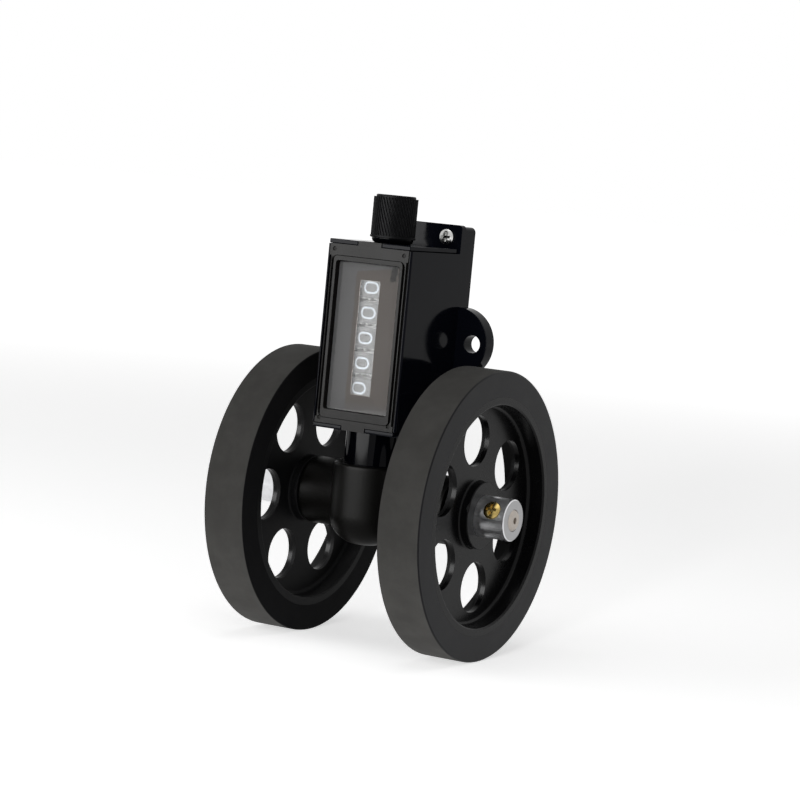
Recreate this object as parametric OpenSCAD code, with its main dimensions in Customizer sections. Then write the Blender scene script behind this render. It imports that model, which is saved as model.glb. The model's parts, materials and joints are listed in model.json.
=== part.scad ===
// Cable length counter. Two wheels on one axle roll along a cable, and a pair of
// crossed helical gears turns a stack of five number drums above them.
// Millimetres. +X is to the reader's right, +Y is away from the reader, +Z is up.
// The origin is midway between the two mounting holes, on the back faces of the ears.

/* [Measuring wheels] */
// Outside diameter of the tyres: one turn rolls a third of a metre
wheel_d = 106.1; // [102:0.1:108]
// Width of a wheel across its tyre
wheel_w = 16.8; // [14:0.1:20]
// Space between the inner faces of the two wheels
wheel_gap = 55.6; // [55:0.1:64]
// Radial thickness of the rubber tyre
tyre_t = 9.45; // [6:0.05:12]
// Height of the key ring that locks the tyre to its wheel
key_h = 1.6; // [1:0.1:2.5]
// Width of the key ring
key_w = 5; // [3:0.1:8]
// Radial thickness of the wheel's own rim
rim_t = 3.1; // [2:0.1:5]
// Thickness of the wheel's web
web_t = 3.2; // [2:0.1:4.5]
// Diameter of the moulded hub
hub_d = 24.6; // [21:0.1:27]
// How far the hub stands out of the web on each side
hub_rise = 3.5; // [2:0.1:4.5]
// Number of round holes in the web
web_holes = 6; // [4:1:6]
// Diameter of a web hole
web_hole_d = 18.8; // [12:0.1:20]
// Diameter of the circle through the web holes' centres
web_hole_circle = 54.6; // [51:0.1:57]

/* [Axle and hubs] */
// Diameter of the steel axle
axle_d = 8; // [7:0.1:8.6]
// How far the axle stands out of each hub sleeve
axle_stick = 0.6; // [0.3:0.1:3]
// Outside diameter of the metal hub sleeve
sleeve_d = 15.2; // [14:0.1:17]
// Length of the sleeve outside the hub
sleeve_out = 12.2; // [10:0.1:16]
// Distance from the hub's face to the clamp screw
clamp_x = 6.6; // [4.5:0.1:7.5]
// Thread diameter of the clamp screw
clamp_d = 4; // [3:0.1:4.4]
// Head diameter of the clamp screw
clamp_head_d = 6.4; // [5.5:0.1:7]
// Thickness of the thrust washer behind each hub
washer_t = 0.6; // [0.4:0.1:1.2]
// Outside diameter of the thrust washer
washer_d = 15; // [12:0.1:18]

/* [Gear case] */
// Outside diameter of the tube round the axle
tube_d = 25; // [24:0.1:26.4]
// Outside diameter of the upright elbow
elbow_d = 27.2; // [26.6:0.1:30]
// Height of the elbow's rim above the axle
elbow_up = 14; // [13:0.1:16]
// Depth of the elbow's bottom below the axle
elbow_down = 15.6; // [14.6:0.1:18]
// Radius that rounds the elbow's bottom
elbow_round = 11; // [6:0.1:12.5]
// Diameter of the bore that holds the axle bushes
tube_bore = 17; // [16:0.1:17]
// Diameter of the elbow's inner chamber
chamber_d = 17.4; // [16.8:0.1:18.4]
// Length of an axle bush
bush_len = 10; // [6:0.1:14]
// Outside diameter of the neck tube
neck_d = 20.2; // [19.8:0.1:21.6]
// Depth of the neck tube's seat in the elbow
neck_seat = 5.8; // [4:0.1:6.2]
// Diameter of the spigot that goes into the counter case
spigot_d = 14; // [13:0.1:15]
// Size of the neck nut across its flats
nut_af = 17; // [16:0.1:18]
// Height of the neck nut
nut_h = 3; // [2:0.1:3.6]

/* [Crossed helical gears] */
// Starts of the gear on the axle
worm_teeth = 4; // [4:1:4]
// Teeth of the gear on the drive shaft
gear_teeth = 12; // [12:1:12]
// Pitch radius of the gear on the axle
worm_r = 6; // [5.9:0.01:6.1]
// Pitch radius of the gear on the drive shaft
gear_r = 6.8; // [6.7:0.01:6.9]
// Face width of the gear on the axle
worm_w = 12; // [9:0.1:13]
// Face width of the gear on the drive shaft
gear_w = 8; // [6:0.1:9]
// Diameter of the drive shaft
shaft_d = 6; // [5.6:0.1:6.6]

/* [Counter case] */
// Width of the counter case across its end caps
case_w = 33.6; // [33.2:0.1:36]
// How far the side walls stand out beyond the end caps
side_out = 0.6; // [0.4:0.1:1]
// Depth of the counter case in front of its flange
case_d = 35.7; // [35:0.1:40]
// Height of the counter case
case_h = 68.2; // [68:0.1:72]
// Wall of the counter case
case_wall = 1.6; // [1.2:0.1:1.8]
// Width of the rear flange
flange_w = 34.8; // [34.8:0.1:38]
// Thickness of the rear flange
flange_t = 3; // [2:0.1:4]
// How far the flange stands above and below the case
flange_rise = 8.7; // [7.5:0.1:12]
// Side lip of the case's front edge, on each side of the clip notch
notch_half = 5; // [3:0.1:8]
// Depth of the clip notch
notch_d = 4.4; // [3:0.1:5]

/* [Front and window] */
// Depth of the front bezel
bezel_d = 2.3; // [1.8:0.1:2.6]
// Height of the bezel's top bar
bezel_top = 4.15; // [3.6:0.05:4.6]
// Height of the bezel's bottom bar
bezel_bottom = 2.1; // [1.6:0.05:2.3]
// Width of the groove beside the window frame
groove_w = 0.85; // [0.5:0.05:0.9]
// How far the window frame stands out of the bezel
frame_rise = 0.2; // [0:0.1:0.5]
// Width of the window opening
window_w = 26.4; // [24:0.1:26.6]
// Height of the window opening
window_h = 53.7; // [50:0.1:54.5]
// Depth from the bezel's front to the dial mask
recess_d = 3.3; // [2.9:0.1:3.6]
// Width of the digit slot in the mask
slot_w = 8.1; // [6:0.1:10]
// Height of the digit slot in the mask
slot_h = 41.3; // [40:0.1:44]

/* [Number drums] */
// Radius of a number drum
drum_r = 11.8; // [11.5:0.05:11.9]
// Distance between one drum and the next
drum_pitch = 9.1; // [9:0.05:9.2]
// Width of the band that carries the digits
band_w = 7.5; // [7.2:0.1:7.7]
// Teeth of the gear on each drum
drum_teeth = 20; // [20:1:20]
// Teeth of a carry pinion
pinion_teeth = 8; // [8:1:8]
// Pitch radius of the gear on each drum
drum_gear_r = 10; // [9.8:0.1:10]
// Diameter of the reset shaft that carries the drums
reset_d = 4; // [3.6:0.1:4.2]
// Diameter of the shaft that carries the pinions
pinion_shaft_d = 2; // [1.6:0.1:2.2]

/* [Reset knob] */
// Diameter of the reset knob over its knurl
knob_d = 16.2; // [14:0.1:20]
// Height of the reset knob
knob_h = 15.6; // [13:0.1:22]
// Number of ridges of the knurl
knob_ridges = 60; // [40:1:72]
// Diameter of the neck under the knob
knob_neck_d = 13; // [11.5:0.1:14]

/* [Mounting plate] */
// Height of the mounting holes above the top of the wheels
hole_rise = 7.35; // [7.2:0.05:12]
// Distance between the two mounting holes
hole_spacing = 48.4; // [46:0.1:49.4]
// Diameter of a mounting hole
hole_d = 6.5; // [5:0.1:8]
// Radius of a mounting ear
ear_r = 13; // [11:0.1:13.2]
// Thickness of a mounting ear
ear_t = 6; // [5:0.1:7]
// Width of the mounting plate
plate_w = 34.4; // [34:0.1:36]
// Height of the mounting plate
plate_h = 84.6; // [82:0.1:88]
// Thickness of the mounting plate
plate_t = 7.8; // [7.2:0.1:9]
// Sideways distance of the plate screws from the middle
screw_x = 11.6; // [9:0.1:12.5]
// Head diameter of a plate screw
screw_head_d = 5.7; // [5:0.1:6]
// Thread diameter of a plate screw
screw_d = 3; // [2.5:0.1:3.4]

/* [Hidden] */
$fn = 72;

// Radial clearance of a shaft that runs in a bore
run_gap = 0.04;
// Clearance of pieces that are pressed or screwed together
fit_gap = 0.02;
// Clearance between flat faces that slide on each other
face_gap = 0.05;
// Clearance between pieces that must not touch
air_gap = 0.3;
// Seam between case pieces that clip together
seam = 0.2;
// Overrun of every cut
cut = 1;

// Wheels
wheel_r = wheel_d / 2;
rim_r = wheel_r - tyre_t;
recess_r = rim_r - rim_t;
wheel_x = (wheel_gap + wheel_w) / 2;
hub_half = web_t / 2 + hub_rise;
sleeve_end = wheel_x + hub_half + sleeve_out;
axle_half = sleeve_end + axle_stick;
hub_in = wheel_x - hub_half;
tyre_edge_r = 0.7;
rim_lip_r = 0.8;
web_fillet_r = 1.5;
axle_chamfer = 0.8;
axle_centre_d = 2.4;
axle_centre_h = 1.6;
sleeve_chamfer = 0.4;
// Turn of the web holes, in degrees from +Y towards +Z
right_turn = 38.5;
left_turn = 2.5;
// Direction of the clamp screws, in degrees from +Y towards +Z
right_clamp_turn = 153.4;
left_clamp_turn = 333.4;
clamp_seat = 0.9;
clamp_head_h = 2;
clamp_len = sleeve_d / 2 - clamp_seat - axle_d / 2 - fit_gap;

// Mounting plate: the ears' back faces lie at y = 0
plate_front = -ear_t;
plate_corner_r = 2;
ear_x = plate_w / 2 + fit_gap;
screw_rise = 4;
screw_z = case_h / 2 + screw_rise;
screw_head_h = 2;
cross_l_share = 0.62;
cross_w_share = 0.17;
screw_grip = 5;
flange_corner_r = 1.5;

// Counter case
case_back = plate_front - flange_t;
case_front = case_back - case_d;
side_half = case_w / 2 + side_out;
wall_set = 0.2;
wall_round = 0.8;
inner_w = case_w - 2 * case_wall;
inner_h = case_h - 2 * case_wall;
cap_gap = 1.2;
cap_back = case_back - cap_gap;
cap_corner_r = 0.8;
tongue_t = 1.2;
tongue_h = 4;
tongue_set = 9;
tongue_front = case_front + tongue_set;

// Window
bezel_back = case_front + bezel_d;
// How far the bezel's sides lie inside the end caps' sides
bezel_in = 0.45;
bezel_half = case_w / 2 - bezel_in;
bezel_play = 0.2;
pip_d = 1.5;
pip_h = 0.4;
pip_in = 1.9;
bezel_hi = inner_h / 2 - bezel_top;
bezel_lo = -inner_h / 2 + bezel_bottom;
frame_play = 0.1;
frame_hi = bezel_hi - frame_play;
frame_lo = bezel_lo + frame_play;
frame_w = inner_w - 2 * groove_w;
frame_front = case_front - frame_rise;
skirt_t = 0.7;
skirt_d = 4;
window_z = -0.35;
window_r = 1;
mask_t = 0.3;
mask_front = case_front + recess_d;
lens_flange = 0.5;
lens_t = 1;
frame_back = mask_front - lens_flange;
frame_r = 1.4;

// Drum stack
drum_gap = 0.3;
drum_y = mask_front + mask_t + drum_gap + drum_r;
drum_half = drum_pitch / 2 - air_gap / 2;
drum_count = 5;
side_w = (drum_pitch - air_gap - band_w) / 2;
rim_wall = 1.6;
drum_web = 1.5;
drum_hub_r = 3.2;
ring_wall = 1.4;
dog_hole_r = 1.1;
dog_pin_r = 1;
dog_circle_r = 5.2;
dog_r = 7;
dog_t = 1.8;
dog_pin_h = 1.6;
carry_m = 2 * drum_gear_r / drum_teeth;
pinion_r = carry_m * pinion_teeth / 2;
carry_play = 0.08;
pinion_y = drum_y + drum_gear_r + pinion_r + carry_play;
tooth_rise = 0.78 * carry_m;
tooth_root = 1.15 * carry_m;
tooth_thin = 0.14;
lock_r = drum_gear_r - 1.2 * carry_m;
carry_tip_r = drum_gear_r;
carry_root_w = 1.1;
pinion_half = drum_pitch / 2 - band_w / 2 - seam;
spacer_wall = 0.7;
// How far the carry teeth stand past the pinion while a drum shows its nought
carry_past = 36;
// Turn of a pinion at rest: its wide teeth straddle the carry teeth as these go by
pinion_turn = 45 + (360 - carry_past) / 4;
// Turn of a drum's gear, so that a gap meets the pinion's tooth
drum_turn = 90 + 180 / drum_teeth - pinion_turn * pinion_teeth / drum_teeth;
drum_bottom = window_z - (drum_count - 1) / 2 * drum_pitch - drum_half;
drum_top = window_z + (drum_count - 1) / 2 * drum_pitch + drum_half;
dog_top = drum_bottom - air_gap;
chassis_t = 1.6;
chassis_side = 1;
chassis_step = 0.5;
chassis_floor = dog_top - dog_t - air_gap;
clip_t = 0.8;
clip_d = 7;
chassis_roof = drum_top + clip_t + 2 * air_gap;
chassis_w = frame_w - 2 * skirt_t - 2 * frame_play;
chassis_front = mask_front + mask_t + face_gap;
chassis_back = pinion_y + pinion_r - chassis_step;

// Drive
gear_y = drum_y;
axle_y = drum_y + worm_r + gear_r;
axle_z = -wheel_r - hole_rise;
tube_half = hub_in - washer_t - 2 * face_gap;
normal_angle = 20;
worm_slices = 36;
gear_slices = 8;
worm_helix = atan(gear_teeth / worm_teeth * worm_r / gear_r);
gear_helix = 90 - worm_helix;
normal_m = 2 * worm_r * cos(worm_helix) / worm_teeth;
gear_rise = 0.85 * normal_m;
gear_root = 1.12 * normal_m;
gear_thin = 0.2;
pin_d = 2;
worm_hub_w = 4;
worm_hub_r = 6;
gear_hub_h = 3.4;
gear_hub_r = 4;
floor_t = 3;
chamber_floor = axle_z - elbow_down + floor_t;
foot_seat = 1;
foot_r = 4.5;
foot_top = axle_z - gear_w / 2 - gear_hub_h - face_gap;
neck_bottom = axle_z + elbow_up - neck_seat;
case_bottom = -case_h / 2;
spigot_stand = 1;
spigot_top = case_bottom + case_wall + nut_h + spigot_stand;
neck_bush_d = 11;
neck_bush_h = 5;
neck_flange_t = 0.8;
neck_flange_d = 13;
elbow_edge_r = 0.8;
reset_bore_h = 9;

// Reset knob
knob_bush_d = 10;
knob_bush_h = 2.6;
knob_neck_h = 1.5;
knob_cove_r = 1.3;
knob_z = case_h / 2 + knob_neck_h + air_gap;
knurl_h = 0.32;
knob_lip = 0.2;
knob_plain = 0.8;
knob_step = 0.9;
knob_chamfer = 0.3;
knurl_sink = 0.04;
knob_dish_d = 11.6;
knob_dish_h = 0.5;
knob_seat_h = 9;

// Lays a shape that stands along Z down along X, at the axle
module on_axle(x = 0) {
  translate([x, axle_y, axle_z]) rotate([0, 90, 0]) children();
}

// Extrudes a flat shape drawn in X and Z from y to y + t
module on_y(y, t) {
  translate([0, y + t, 0]) rotate([90, 0, 0]) linear_extrude(t) children();
}

// A rectangle with round corners, centred
module round_box(w, h, r) {
  square([w - 2 * r, h], center = true);
  square([w, h - 2 * r], center = true);
  for (x = [-1, 1], y = [-1, 1])
    translate([x * (w / 2 - r), y * (h / 2 - r)]) circle(r);
}

module ring(d, bore, h) {
  difference() {
    cylinder(d = d, h = h);
    translate([0, 0, -cut]) cylinder(d = bore, h = h + 2 * cut);
  }
}

// The corner that a round fillet fills, for a corner at the origin
module corner_fill(r) {
  difference() {
    square(r);
    translate([r, r]) circle(r);
  }
}

// Involute function, in degrees
function inv(a) = tan(a) * 180 / PI - a;

// Half the angle that a tooth fills at radius r
function half_tooth(r, pitch_r, angle, thick) =
  thick / 2 / pitch_r * 180 / PI + inv(angle)
  - inv(acos(min(1, pitch_r * cos(angle) / r)));

function polar(r, a) = [r * cos(a), r * sin(a)];

// Outline of an involute gear with a tooth centred on +X
module gear_outline(teeth, pitch_r, angle, rise, root, thick, keep) {
  steps = 4;
  base = max(pitch_r * cos(angle), pitch_r - root);
  radii = [for (i = [0 : steps]) base + (pitch_r + rise - base) * i / steps];
  circle(pitch_r - root);
  for (t = [0 : teeth - 1])
    if (t % keep == 0)
      rotate(t * 360 / teeth)
        polygon(concat(
          [polar(pitch_r - 2 * root, -half_tooth(base, pitch_r, angle, thick))],
          [for (r = radii) polar(r, -half_tooth(r, pitch_r, angle, thick))],
          [for (i = [steps : -1 : 0])
            polar(radii[i], half_tooth(radii[i], pitch_r, angle, thick))],
          [polar(pitch_r - 2 * root, half_tooth(base, pitch_r, angle, thick))]));
}

// A helical gear centred on its mid plane, with a tooth on +X there
module helical_gear(teeth, pitch_r, helix, w, slices) {
  side_angle = atan(tan(normal_angle) / cos(helix));
  thick = PI * pitch_r / teeth - gear_thin / cos(helix);
  turn = w * tan(helix) / pitch_r * 180 / PI;
  translate([0, 0, -w / 2])
    linear_extrude(w, twist = -turn, slices = slices)
      rotate(-turn / 2)
        gear_outline(teeth, pitch_r, side_angle, gear_rise, gear_root, thick, 1);
}

// A pan head screw with a cross recess, its seat at z = 0 and its point down
module pan_screw(d, head_d, head_h, length) {
  cross_w = head_d * cross_w_share;
  cross_l = head_d * cross_l_share;
  difference() {
    union() {
      intersection() {
        cylinder(d = head_d, h = head_h);
        translate([0, 0, head_h - head_d]) sphere(head_d);
      }
      translate([0, 0, -length]) cylinder(d = d, h = length + head_h / 2);
    }
    for (a = [0, 90])
      rotate(a)
        translate([-cross_l / 2, -cross_w / 2, head_h / 2])
          cube([cross_l, cross_w, head_h]);
  }
}

// Gear case: the tube round the axle and the upright elbow in front of it
module gear_case() {
  color("#1c1c1d") difference() {
    union() {
      on_axle(-tube_half) cylinder(d = tube_d, h = 2 * tube_half);
      translate([0, gear_y, axle_z - elbow_down])
        rotate_extrude() elbow_outline();
    }
    on_axle(-tube_half - cut) cylinder(d = tube_bore, h = 2 * (tube_half + cut));
    translate([0, gear_y, chamber_floor])
      cylinder(d = chamber_d, h = neck_bottom - chamber_floor + fit_gap);
    translate([0, gear_y, neck_bottom])
      cylinder(d = neck_d + 2 * fit_gap, h = elbow_up + cut);
    translate([0, gear_y, chamber_floor - foot_seat])
      cylinder(r = foot_r + fit_gap, h = foot_seat + cut);
  }
}

// Half outline of the elbow, from its bottom centre
module elbow_outline() {
  r = elbow_d / 2;
  h = elbow_up + elbow_down;
  difference() {
    square([r, h]);
    translate([r, 0]) mirror([1, 0]) corner_fill(elbow_round);
    translate([r, h]) mirror([1, 0]) mirror([0, 1]) corner_fill(elbow_edge_r);
  }
}

module axle_bush() {
  color("#b08d57") ring(tube_bore - 2 * fit_gap, axle_d + 2 * run_gap, bush_len);
}

module axle_bush_left() {
  on_axle(-tube_half) axle_bush();
}

module axle_bush_right() {
  on_axle(tube_half - bush_len) axle_bush();
}

// Blind bush at the foot of the drive shaft
module foot_bush() {
  color("#b08d57") translate([0, gear_y, chamber_floor - foot_seat])
    difference() {
      cylinder(r = foot_r, h = foot_top - chamber_floor + foot_seat);
      translate([0, 0, foot_seat])
        cylinder(d = shaft_d + 2 * run_gap, h = foot_top - chamber_floor + cut);
    }
}

// Neck tube: stands in the elbow and carries the counter case
module neck_tube() {
  color("#141415") translate([0, gear_y, neck_bottom]) difference() {
    union() {
      cylinder(d = neck_d, h = case_bottom - neck_bottom);
      cylinder(d = spigot_d, h = spigot_top - neck_bottom);
    }
    translate([0, 0, -cut])
      cylinder(d = neck_bush_d + 2 * fit_gap, h = spigot_top - neck_bottom + 2 * cut);
  }
}

module neck_bush() {
  color("#b08d57") ring(neck_bush_d, shaft_d + 2 * run_gap, neck_bush_h);
}

module neck_bush_lower() {
  translate([0, gear_y, neck_bottom]) neck_bush();
}

module neck_bush_upper() {
  translate([0, gear_y, spigot_top - neck_bush_h]) neck_bush();
  color("#b08d57") translate([0, gear_y, spigot_top])
    ring(neck_flange_d, shaft_d + 2 * run_gap, neck_flange_t);
}

module neck_nut() {
  color("#9a9da0") translate([0, gear_y, case_bottom + case_wall]) difference() {
    cylinder(d = nut_af / cos(30), h = nut_h, $fn = 6);
    translate([0, 0, -cut]) cylinder(d = spigot_d + 2 * fit_gap, h = nut_h + 2 * cut);
  }
}

// Section of the right side wall: its lip runs forward beside the bezel
module side_section() {
  wall_front = bezel_back + seam;
  lip_x = bezel_half + bezel_play;
  difference() {
    union() {
      translate([inner_w / 2, wall_front])
        square([side_half - inner_w / 2, case_back - wall_front + flange_t / 2]);
      translate([lip_x, case_front + wall_set])
        square([side_half - lip_x, wall_front - case_front]);
    }
    translate([side_half, case_front + wall_set]) mirror([1, 0]) corner_fill(wall_round);
  }
}

// Case body: two side walls and the rear flange
module case_body() {
  wall_h = inner_h - 2 * seam;
  color("#0f0f11") difference() {
    union() {
      for (side = [0, 1])
        mirror([side, 0, 0]) translate([0, 0, -wall_h / 2])
          linear_extrude(wall_h) side_section();
      on_y(case_back, flange_t)
        round_box(flange_w, case_h + 2 * flange_rise, flange_corner_r);
    }
    for (x = [-screw_x, screw_x], z = [-screw_z, screw_z])
      translate([x, case_back - cut, z]) rotate([-90, 0, 0])
        cylinder(d = screw_d + 2 * fit_gap, h = flange_t + 2 * cut);
  }
}

// End cap of the case, drawn for the top, with a hole of the given diameter
module end_cap(hole) {
  half = case_w / 2;
  depth = cap_back - case_front;
  color("#0f0f11") difference() {
    union() {
      translate([0, 0, inner_h / 2]) linear_extrude(case_wall) difference() {
        translate([0, case_front + depth / 2]) union() {
          round_box(case_w, depth, cap_corner_r);
          translate([-half, -depth / 2]) square([case_w, depth / 2]);
        }
        translate([-notch_half, case_front - cut]) square([2 * notch_half, notch_d + cut]);
      }
      for (x = [-inner_w / 2 + face_gap, inner_w / 2 - face_gap - tongue_t])
        translate([x, tongue_front, inner_h / 2 - tongue_h])
          cube([tongue_t, cap_back - tongue_front, tongue_h + case_wall / 2]);
    }
    translate([0, drum_y, inner_h / 2 - cut]) cylinder(d = hole, h = case_wall + 2 * cut);
  }
}

module case_top_cap() {
  end_cap(knob_bush_d + 2 * fit_gap);
}

module case_bottom_cap() {
  mirror([0, 0, 1]) end_cap(spigot_d + 2 * fit_gap);
}

// Front bezel: a frame with a clip in the notch of each end cap
module front_bezel() {
  clip_w = 2 * (notch_half - seam);
  open_h = bezel_hi - bezel_lo;
  top = inner_h / 2 - face_gap;
  color("#19191b") difference() {
    union() {
      on_y(case_front, bezel_d) square([2 * bezel_half, 2 * top], center = true);
      on_y(case_front, notch_d - seam)
        square([clip_w, case_h], center = true);
    }
    translate([0, notch_d + cut, 0])
      on_y(case_front - 2 * cut - notch_d, notch_d + 3 * cut)
        translate([0, bezel_lo + open_h / 2]) round_box(inner_w, open_h, frame_r + groove_w);
    on_y(bezel_back, notch_d)
      translate([-notch_half, -inner_h / 2 + tongue_t])
        square([2 * notch_half, inner_h - 2 * tongue_t]);
    for (x = [-1, 1], z = [-1, 1])
      on_y(case_front - cut, pip_h + cut)
        translate([x * (bezel_half - pip_in), z * (top - pip_in)]) circle(d = pip_d);
  }
}

// Window frame: the raised inner frame and the skirt that holds lens and mask
module window_frame() {
  h = frame_hi - frame_lo;
  mid = (frame_hi + frame_lo) / 2;
  color("#1b1b1d") difference() {
    on_y(frame_front, frame_back + skirt_d - frame_front)
      translate([0, mid]) round_box(frame_w, h, frame_r);
    on_y(frame_back, skirt_d + cut)
      translate([0, mid]) square([frame_w - 2 * skirt_t, h - 2 * skirt_t], center = true);
    on_y(frame_front - cut, frame_back - frame_front + 2 * cut)
      translate([0, window_z]) round_box(window_w, window_h, window_r);
  }
}

// Clear window: a pane in the opening with a thin flange behind it
module window_lens() {
  h = frame_hi - frame_lo - 2 * skirt_t - 2 * face_gap;
  mid = (frame_hi + frame_lo) / 2;
  color("#9aa4aa", 0.35) {
    on_y(mask_front - lens_t, lens_t)
      translate([0, window_z])
        round_box(window_w - 2 * face_gap, window_h - 2 * face_gap, window_r);
    on_y(frame_back, lens_flange)
      translate([0, mid])
        square([frame_w - 2 * skirt_t - 2 * face_gap, h], center = true);
  }
}

// Dial mask: the thin grey plate with the digit slot
module dial_mask() {
  h = frame_hi - frame_lo - 2 * skirt_t - 2 * face_gap;
  mid = (frame_hi + frame_lo) / 2;
  color("#66625f") difference() {
    on_y(mask_front, mask_t)
      translate([0, mid])
        square([frame_w - 2 * skirt_t - 2 * face_gap, h], center = true);
    on_y(mask_front - cut, mask_t + 2 * cut)
      translate([0, window_z]) square([slot_w, slot_h], center = true);
  }
}

// Sheet frame round the drums, with the bores of both shafts
module drum_chassis() {
  low = chassis_floor - chassis_t;
  high = chassis_roof + chassis_t;
  color("#a7a9ab") difference() {
    translate([-chassis_w / 2, chassis_front, low])
      cube([chassis_w, chassis_back - chassis_front, high - low]);
    translate([-chassis_w / 2 + chassis_side, chassis_front - cut, chassis_floor])
      cube([chassis_w - 2 * chassis_side, chassis_back - chassis_front + 2 * cut,
            chassis_roof - chassis_floor]);
    translate([0, drum_y, low - cut])
      cylinder(d = shaft_d + 2 * air_gap, h = chassis_t + 2 * cut);
    translate([0, drum_y, chassis_roof - cut])
      cylinder(d = reset_d + 2 * run_gap, h = chassis_t + 2 * cut);
    translate([0, pinion_y, low - cut])
      cylinder(d = pinion_shaft_d + 2 * fit_gap, h = high - low + 2 * cut);
  }
}

module pinion_shaft() {
  color("#c3c6c9") translate([0, pinion_y, chassis_floor - chassis_t])
    cylinder(d = pinion_shaft_d, h = chassis_roof - chassis_floor + 2 * chassis_t);
}

// Height of the middle of carry pinion n, between drums n and n + 1
function pinion_z(n) = window_z + (n - drum_count / 2) * drum_pitch;

// Tubes on the pinion shaft that keep the pinions apart
module pinion_spacers() {
  d = pinion_shaft_d + 2 * run_gap + 2 * spacer_wall;
  levels = concat([chassis_floor - pinion_half],
                  [for (n = [1 : drum_count - 1]) pinion_z(n)],
                  [chassis_roof + pinion_half]);
  color("#b9bcbf") for (i = [0 : len(levels) - 2]) {
    low = levels[i] + pinion_half + face_gap;
    high = levels[i + 1] - pinion_half - face_gap;
    translate([0, pinion_y, low]) ring(d, pinion_shaft_d + 2 * run_gap, high - low);
  }
}

// Collar that widens in a cove up to the knob, with a spigot in the top cap
module knob_bush() {
  top = case_h / 2;
  color("#161617") translate([0, drum_y, top - knob_bush_h]) difference() {
    union() {
      cylinder(d = knob_bush_d, h = knob_bush_h + knob_neck_h);
      translate([0, 0, knob_bush_h]) rotate_extrude() difference() {
        square([knob_neck_d / 2 + knob_cove_r, knob_neck_h]);
        translate([knob_neck_d / 2 + knob_cove_r, 0]) circle(knob_cove_r);
      }
    }
    translate([0, 0, -cut])
      cylinder(d = reset_d + 2 * run_gap, h = knob_bush_h + knob_neck_h + 2 * cut);
  }
}

// Mounting plate with its two ears
module mounting_plate() {
  color("#151517") difference() {
    union() {
      on_y(plate_front, plate_t) round_box(plate_w, plate_h, plate_corner_r);
      for (x = [-ear_x, ear_x])
        on_y(plate_front, ear_t) translate([x, 0]) circle(ear_r);
    }
    for (x = [-1, 1])
      translate([x * hole_spacing / 2, plate_front - cut, 0]) rotate([-90, 0, 0])
        cylinder(d = hole_d, h = plate_t + 2 * cut);
    for (x = [-screw_x, screw_x], z = [-screw_z, screw_z])
      translate([x, plate_front - cut, z]) rotate([-90, 0, 0])
        cylinder(d = screw_d + 2 * fit_gap, h = screw_grip + cut);
  }
}

module plate_screws() {
  color("#c9cccf") for (x = [-screw_x, screw_x], z = [-screw_z, screw_z])
    translate([x, case_back, z]) rotate([90, 0, 0])
      pan_screw(screw_d, screw_head_d, screw_head_h, flange_t + screw_grip - seam);
}

// Axle with chamfered ends and centre holes
module axle() {
  r = axle_d / 2;
  color("#b9bbbd") difference() {
    on_axle(-axle_half) rotate_extrude()
      polygon([[0, 0], [r - axle_chamfer, 0], [r, axle_chamfer],
               [r, 2 * axle_half - axle_chamfer], [r - axle_chamfer, 2 * axle_half],
               [0, 2 * axle_half]]);
    for (s = [-1, 1])
      on_axle(s * (axle_half - axle_centre_h / 2 + cut / 2))
        cylinder(d = axle_centre_d, h = axle_centre_h + cut, center = true);
    translate([worm_w / 2 + worm_hub_w / 2, axle_y, axle_z])
      cylinder(d = pin_d + 2 * fit_gap, h = 2 * axle_d, center = true);
  }
}

// Four-start helical gear on the axle, with its pinned hub
module axle_gear() {
  color("#c8a45a") difference() {
    union() {
      on_axle() rotate(90 + 180 / worm_teeth)
        helical_gear(worm_teeth, worm_r, worm_helix, worm_w, worm_slices);
      on_axle(worm_w / 2 - fit_gap) cylinder(r = worm_hub_r, h = worm_hub_w + fit_gap);
    }
    on_axle(-worm_w) cylinder(d = axle_d + 2 * fit_gap, h = 3 * worm_w);
    translate([worm_w / 2 + worm_hub_w / 2, axle_y, axle_z])
      cylinder(d = pin_d + 2 * fit_gap, h = 4 * worm_hub_r, center = true);
  }
}

module axle_gear_pin() {
  color("#8f9295") translate([worm_w / 2 + worm_hub_w / 2, axle_y, axle_z])
    cylinder(d = pin_d, h = 2 * (worm_hub_r - fit_gap), center = true);
}

// Half section of a wheel, radius along X, width along Y
module wheel_section() {
  difference() {
    union() {
      translate([recess_r, -wheel_w / 2]) square([rim_t, wheel_w]);
      translate([recess_r, -key_w / 2]) square([rim_t + key_h, key_w]);
      translate([0, -web_t / 2]) square([recess_r + rim_t / 2, web_t]);
      translate([0, -hub_half]) square([hub_d / 2, 2 * hub_half]);
      for (s = [0, 1]) mirror([0, s]) translate([0, web_t / 2]) {
        translate([recess_r, 0]) mirror([1, 0]) corner_fill(web_fillet_r);
        translate([hub_d / 2, 0]) corner_fill(rim_lip_r);
      }
    }
    for (s = [0, 1]) mirror([0, s]) {
      translate([recess_r, wheel_w / 2]) mirror([0, 1]) corner_fill(rim_lip_r);
      translate([hub_d / 2, hub_half]) mirror([1, 0]) mirror([0, 1])
        corner_fill(rim_lip_r / 2);
    }
    translate([0, -wheel_w]) square([sleeve_d / 2 + fit_gap, 2 * wheel_w]);
  }
}

module wheel(side, turn) {
  color("#202123") difference() {
    on_axle(side * wheel_x) rotate_extrude() wheel_section();
    for (i = [0 : web_holes - 1])
      translate([side * wheel_x, axle_y, axle_z])
        rotate([turn + i * 360 / web_holes, 0, 0])
          translate([0, web_hole_circle / 2, 0]) rotate([0, 90, 0])
            cylinder(d = web_hole_d, h = web_t + 2 * cut, center = true);
  }
}

module wheel_left() {
  wheel(-1, left_turn);
}

module wheel_right() {
  wheel(1, right_turn);
}

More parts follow.
